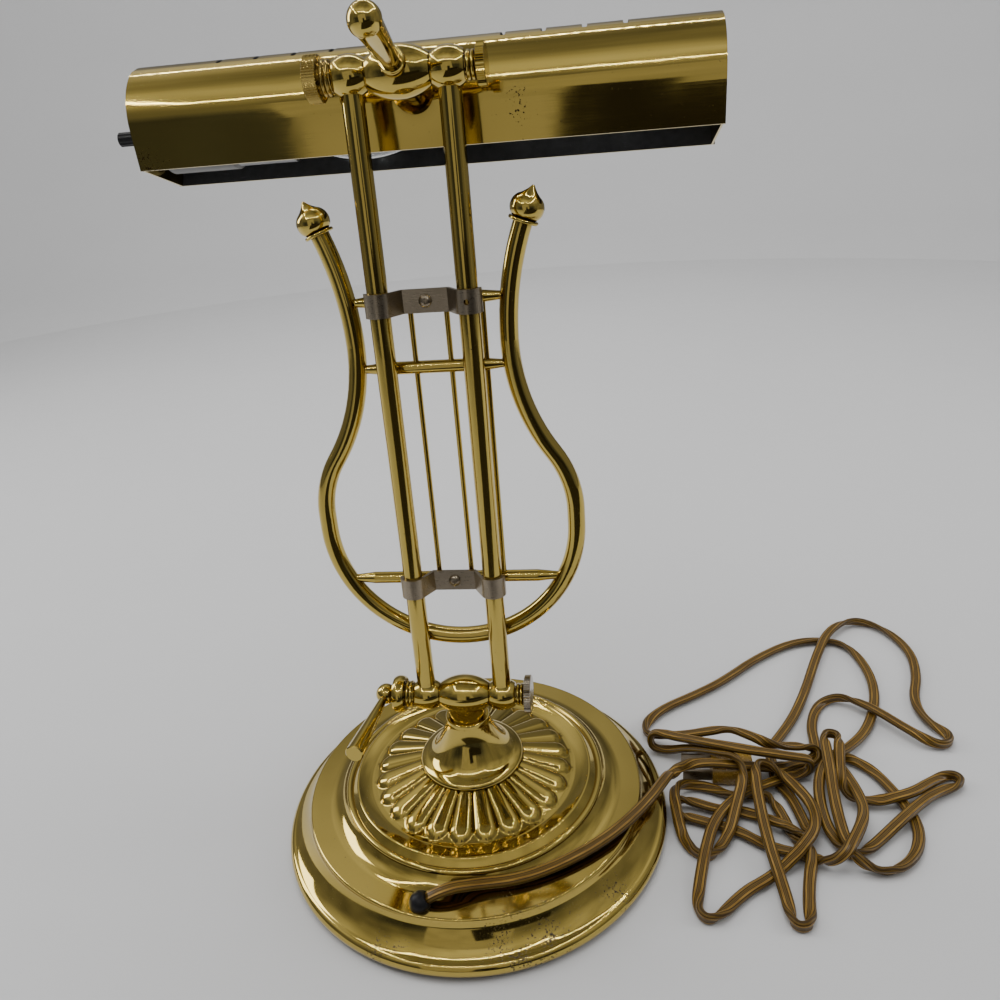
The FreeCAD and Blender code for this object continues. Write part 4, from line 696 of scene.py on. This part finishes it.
# A petal's share of its sector, its heights at root and tip in mm, and how boxy its section is.
PETAL_FILL = 0.955
PETAL_LOW = 1.2
PETAL_HIGH = 2.7
PETAL_BOXY = 3.2
PETAL_SOFT = 0.75
# Rings of the mesh over the petals: a fine spacing round their tips, then a coarser one.
RING_OUTSIDE = 0.25
RING_FINE = 0.45
RINGS_FINE = 16
RING_COARSE = 0.8


def arc_points(start, middle, end, steps):
    """Points of the circle through three points of a plane."""
    (ax, ay), (bx, by), (cx, cy) = start, middle, end
    double = 2 * (ax * (by - cy) + bx * (cy - ay) + cx * (ay - by))
    a, b, c = ax * ax + ay * ay, bx * bx + by * by, cx * cx + cy * cy
    x = (a * (by - cy) + b * (cy - ay) + c * (ay - by)) / double
    y = (a * (cx - bx) + b * (ax - cx) + c * (bx - ax)) / double
    radius = math.hypot(ax - x, ay - y)
    first, halfway, last = (math.atan2(q - y, p - x) for p, q in (start, middle, end))
    turn = (last - first + math.pi) % (2 * math.pi) - math.pi
    if abs((first + turn / 2 - halfway + math.pi) % (2 * math.pi) - math.pi) > math.pi / 2:
        turn -= math.copysign(2 * math.pi, turn)
    places = [first + turn * n / steps for n in range(steps + 1)]
    return [(x + radius * math.cos(t), y + radius * math.sin(t)) for t in places]


def field_height(radius):
    """The cone that the petals rise from, and the level ring outside it."""
    slope = (SEAT[1] - FIELD_FOOT[1]) / (FIELD_FOOT[0] - SEAT[0])
    return FIELD_FOOT[1] + max(0.0, FIELD_FOOT[0] - radius) * slope


def petal_rise(radius, turn):
    """How far a petal stands above the field at a radius and an angle from its middle."""
    share = PETAL_FILL * math.tan(math.pi / PETAL_COUNT)
    centre = PETAL_TIP / (1 + share)
    side = radius * math.sin(turn)
    if radius <= centre:
        off = abs(side) / (share * radius)
    else:
        off = math.hypot(radius - centre, side) / (share * centre)
    high = PETAL_LOW + (PETAL_HIGH - PETAL_LOW) * min(1.0, (radius - PETAL_ROOT) / (centre - PETAL_ROOT))
    return high * max(0.0, 1 - off ** PETAL_BOXY) ** PETAL_SOFT


def make_base_shell(material):
    """The spun shell with its petals embossed, hollow underneath."""
    outline = []
    for arc in SHELL_OUTLINE:
        outline += arc_points(*arc, ARC_STEPS)
    rows = [(radius, height, False) for radius, height in outline]
    field = [PETAL_TIP + RING_OUTSIDE - RING_FINE * n for n in range(RINGS_FINE)]
    while field[-1] - RING_COARSE > PETAL_ROOT:
        field.append(field[-1] - RING_COARSE)
    rows += [(radius, field_height(radius), True) for radius in field + [PETAL_ROOT]]
    rows += [(*SEAT, False)] + [(radius, height, False) for radius, height in SHELL_HOLLOW]
    count = PETAL_COUNT * PETAL_STEPS
    verts = []
    for radius, height, raised in rows:
        for n in range(count):
            turn = 2 * math.pi * n / count
            off = ((n + PETAL_STEPS // 2) % PETAL_STEPS - PETAL_STEPS // 2) * 2 * math.pi / count
            rise = petal_rise(radius, off) if raised else 0.0
            verts.append((radius * MM * math.cos(turn), radius * MM * math.sin(turn), (height + rise) * MM))
    faces = []
    for i in range(len(rows)):
        j = (i + 1) % len(rows)
        for n in range(count):
            m = (n + 1) % count
            faces.append((i * count + n, i * count + m, j * count + m, j * count + n))
    mesh = bpy.data.meshes.new("embossed_shell")
    mesh.from_pydata(verts, [], faces)
    mesh.validate()
    mesh.shade_smooth()
    mesh.set_sharp_from_angle(angle=SHARP_EDGE)
    shell = new_object("embossed_shell", mesh, material)
    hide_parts("base_shell")
    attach(shell, "base")


# ---------------------------------------------------------------- neck
# The control points of the neck's outline, as (radius, height) in mm: a slender upright that turns out
# into a flat foot. The bore under it is straight from point to point.
NECK_OUTLINE = [
    (5.05, 67.00), (10.30, 67.00), (11.10, 66.90), (11.35, 65.80), (11.60, 63.50),
    (12.40, 60.00), (13.70, 56.20), (15.40, 52.40), (17.40, 48.90), (19.80, 45.70),
    (22.30, 43.70), (24.60, 42.90), (26.40, 41.90), (27.15, 40.60), (27.20, 39.60),
    (27.20, 38.42),
]
NECK_BORE = [
    (25.6, 38.42), (25.6, 39.2), (19.0, 40.6), (13.0, 46.0), (10.2, 56.0), (9.8, 65.4), (5.05, 65.4),
]
NECK_SIDES = 96


def make_neck(material):
    """The trumpet between the petals and the lower barrel."""
    curve = smooth_line("neck_line", [(radius * MM, 0.0, height * MM) for radius, height in NECK_OUTLINE])
    profile = [(place.x, place.z) for place in curve]
    profile += [(radius * MM, height * MM) for radius, height in NECK_BORE]
    mesh = lathe_mesh("neck_trumpet", profile + profile[:1], NECK_SIDES)
    mesh.validate()
    mesh.set_sharp_from_angle(angle=SHARP_EDGE)
    neck = new_object("neck_trumpet", mesh, material)
    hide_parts("neck")
    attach(neck, "base")


# ---------------------------------------------------------------- studio
# A shallow bowl of paper: (radius, height) from near the floor's middle to the top of its wall.
COVE_PROFILE = [
    (0.5, 0.0), (1.2, 0.0), (1.6, 0.0), (1.85, 0.035), (2.08, 0.14), (2.27, 0.31), (2.40, 0.53), (2.46, 0.80),
    (2.48, 1.40), (2.48, 2.40),
]
COVE_MIDDLE = (0.001, 0.0)
COVE_SIDES = 96
# The paper's wall is seen, but the brass mirrors the world and the cards instead.
WALL_FROM = 2


def make_cove():
    """The floor, and the wall that it curves up into."""
    paper = pale_floor()
    level = [COVE_MIDDLE] + COVE_PROFILE[:WALL_FROM + 1]
    middle = new_object("floor", lathe_mesh("floor", level, COVE_SIDES), paper)
    wall = new_object("backdrop", lathe_mesh("backdrop", COVE_PROFILE[WALL_FROM:], COVE_SIDES), paper)
    wall.visible_glossy = False


def only_mirrored(thing):
    """Leaves a studio piece to reflections only."""
    thing.visible_camera = False
    thing.visible_diffuse = False
    thing.visible_shadow = False
    thing.visible_transmission = False


def card(name, centre, across, along, colour, strength):
    """A panel that only mirrors see."""
    s = Shader(name, Base_Color=(0, 0, 0, 1), Roughness=1.0, Emission_Strength=strength)
    dimmer = [0.5 * c for c in colour]
    s.set(Emission_Color=s.mix(s.noise(6.0, 2.0), (*colour, 1), (*dimmer, 1)))
    only_mirrored(flat_panel(name, centre, across, along, s.material))


def lamp_ring(name, centre, half_long, half_wide, pitch, size, strength):
    """A rectangle of small lamps under the tent's roof, that only mirrors see."""
    corners = [(x * half_long, y * half_wide) for x, y in SQUARE]
    verts, faces = [], []
    for n, corner in enumerate(corners):
        start, end = Vector((*corner, 0)), Vector((*corners[(n + 1) % len(corners)], 0))
        count = round((end - start).length / pitch)
        for k in range(count):
            place = Vector(centre) + start.lerp(end, k / count)
            first = len(verts)
            verts += [(place.x + x * size, place.y + y * size, place.z) for x, y in SQUARE]
            faces.append((first, first + 1, first + 2, first + 3))
    mesh = bpy.data.meshes.new(name)
    mesh.from_pydata(verts, [], faces)
    s = Shader(name, Emission_Color=(1, 0.98, 0.92, 1), Emission_Strength=strength)
    s.set(Roughness=s.between(s.noise(9.0), 0.0, 1.0, 0.9, 1.0))
    only_mirrored(new_object(name, mesh, s.material))


# The tent's strength at its wall and ceiling, and the shares of it at the roof's middle and in the opening.
WALL_LIGHT = 0.22
CEILING_LIGHT = 0.62
ROOF_SHARE = 0.4
OPENING_LIGHT = 0.42


def make_world():
    """A tent of white cloth, open and dimmer towards +Y, with soft folds."""
    world = bpy.data.worlds.new("studio")
    world.use_nodes = True
    s = Shader.__new__(Shader)
    s.tree = world.node_tree
    way = s.node("ShaderNodeTexCoord").outputs["Generated"]
    split = s.node("ShaderNodeSeparateXYZ", Vector=way)
    flat = s.vector("LENGTH", s.vector("MULTIPLY", way, (1, 1, 0)))
    toward = s.math("DIVIDE", split.outputs["Y"], s.math("MAXIMUM", flat, 0.001))
    high = split.outputs["Z"]
    cloth = s.between(high, 0.40, 0.75, WALL_LIGHT, CEILING_LIGHT)
    cloth = s.math("MULTIPLY", cloth, s.between(high, 0.80, 0.96, 1.0, ROOF_SHARE))
    folds = s.noise(2.2, 3.0, 0.55, s.vector("MULTIPLY", way, (1.0, 1.0, 0.35)))
    cloth = s.math("MULTIPLY", cloth, s.between(folds, 0.35, 0.65, 0.55, 1.25))
    opening = s.math("MULTIPLY", s.between(toward, 0.45, 0.70), s.between(high, 0.30, 0.14))
    light = s.math("MULTIPLY", cloth, s.between(opening, 0.0, 1.0, 1.0, OPENING_LIGHT))
    back = world.node_tree.nodes["Background"]
    s.feed(back.inputs["Color"], s.mix(opening, (1.0, 0.995, 0.985, 1), (0.75, 0.80, 0.90, 1)))
    s.feed(back.inputs["Strength"], light)
    bpy.context.scene.world = world


# ---------------------------------------------------------------- put together
def dress(material, *nodes):
    """Gives CAD nodes their material."""
    for node in nodes:
        for slot in bpy.data.objects[node].material_slots:
            slot.material = material


make_camera()
make_cove()
make_cord(cord_vinyl())

dress(brass("drawn_brass").material, *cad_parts)
spun = brass("spun_brass", BASE_STAINS, lathe=True, polish=0.055).material
dress(spun, "base_shell", "neck")
make_base_shell(spun)
make_neck(spun)
dress(brass("tube_brass", grain=(1, 1, 0.02)).material, "arm_tube_left", "arm_tube_right")
dress(shade_brass(), "shade")
dress(disc_and_beads(), "lower_bolt")

# Satin metals: darker and lighter tone, least roughness, and how the grain is stretched.
nickel = brushed("satin_nickel", (0.24, 0.20, 0.145, 1), (0.40, 0.34, 0.255, 1), 0.24, (0.08, 1, 1))
dress(nickel, "strap_lower", "strap_upper", "strap_screws", "plug_blades")
steel = brushed("zinc_steel", (0.42, 0.42, 0.41, 1), (0.58, 0.58, 0.56, 1), 0.3, (1, 1, 0.1))
dress(steel, "base_washer", "base_nut", "centre_nipple", "stem_washer", "stem_nut")
alloy = brushed("aluminium", (0.62, 0.62, 0.63, 1), (0.74, 0.74, 0.75, 1), 0.26, (1, 0.1, 0.1))
dress(alloy, "bulb_base")
grey_shell = brushed("grey_shell", (0.20, 0.20, 0.20, 1), (0.30, 0.30, 0.30, 1), 0.35, (1, 0.1, 0.1))
dress(grey_shell, "socket_skirt")
dark_nut = brushed("dark_nut", (0.36, 0.26, 0.075, 1), (0.46, 0.34, 0.10, 1), 0.15, (1, 0.1, 0.1))
dress(dark_nut, "thumb_nut")

# Moulded parts: tone, paler tone and least roughness.
plastic = moulded(
    "black_plastic", (0.004, 0.004, 0.005, 1), (0.009, 0.009, 0.010, 1), 0.34, Specular_IOR_Level=0.25,
)
dress(plastic, "switch_knob", "cord_bushing")
dress(moulded("grey_phenolic", (0.10, 0.10, 0.10, 1), (0.16, 0.16, 0.155, 1), 0.35), "switch_body")
dress(clear_glass(), "bulb_glass")
dress(bulb_inside(), "bulb_mount")
dress(felt(), "base_felt")
dress(cast_iron(), "base_weight")
dress(amber_plug(), "plug_body")
lead = moulded("lead_vinyl", (0.35, 0.24, 0.09, 1), (0.45, 0.32, 0.13, 1), 0.3, Transmission_Weight=0.2)
dress(lead, "shade_lead")

# Lights: place, target, width, height and watts.
soft_light("top_light", (0.1, -0.1, 1.30), (0, -0.05, 0.1), 1.2, 0.9, 11)
soft_light("left_light", (1.15, -0.25, 0.75), (0, 0, 0.2), 0.4, 0.8, 6, mirrored=True)
soft_light("right_light", (-1.20, -0.10, 0.65), (0, 0, 0.15), 0.4, 0.8, 5)
soft_light("paper_light", (0.0, -0.7, 1.60), (0, -2.3, 0.7), 1.6, 0.6, 20)
make_world()

# What the brass mirrors of the room behind the camera: centre, two half sides, colour and strength.
card("light_flap", (0.02, 0.92, 0.46), (0.38, 0, -0.05), (0.05, 0, 0.36), (1.0, 0.98, 0.93), 0.55)
card("dark_ground", (-0.60, 0.95, 0.004), (0.75, 0, 0), (0, 0.68, 0), (0.05, 0.042, 0.035), 0.6)
card("dark_person", (-0.10, 0.82, 0.27), (0.075, 0, 0.01), (-0.01, 0, 0.16), (0.035, 0.032, 0.035), 0.6)
card("dark_bench", (-0.45, 0.86, 0.20), (0.36, 0, -0.03), (0.01, 0, 0.085), (0.040, 0.036, 0.034), 0.6)
lamp_ring(
    "lamp_ring", centre=(-0.02, 0.12, 0.76), half_long=0.42, half_wide=0.36, pitch=0.012, size=0.0032,
    strength=90.0,
)
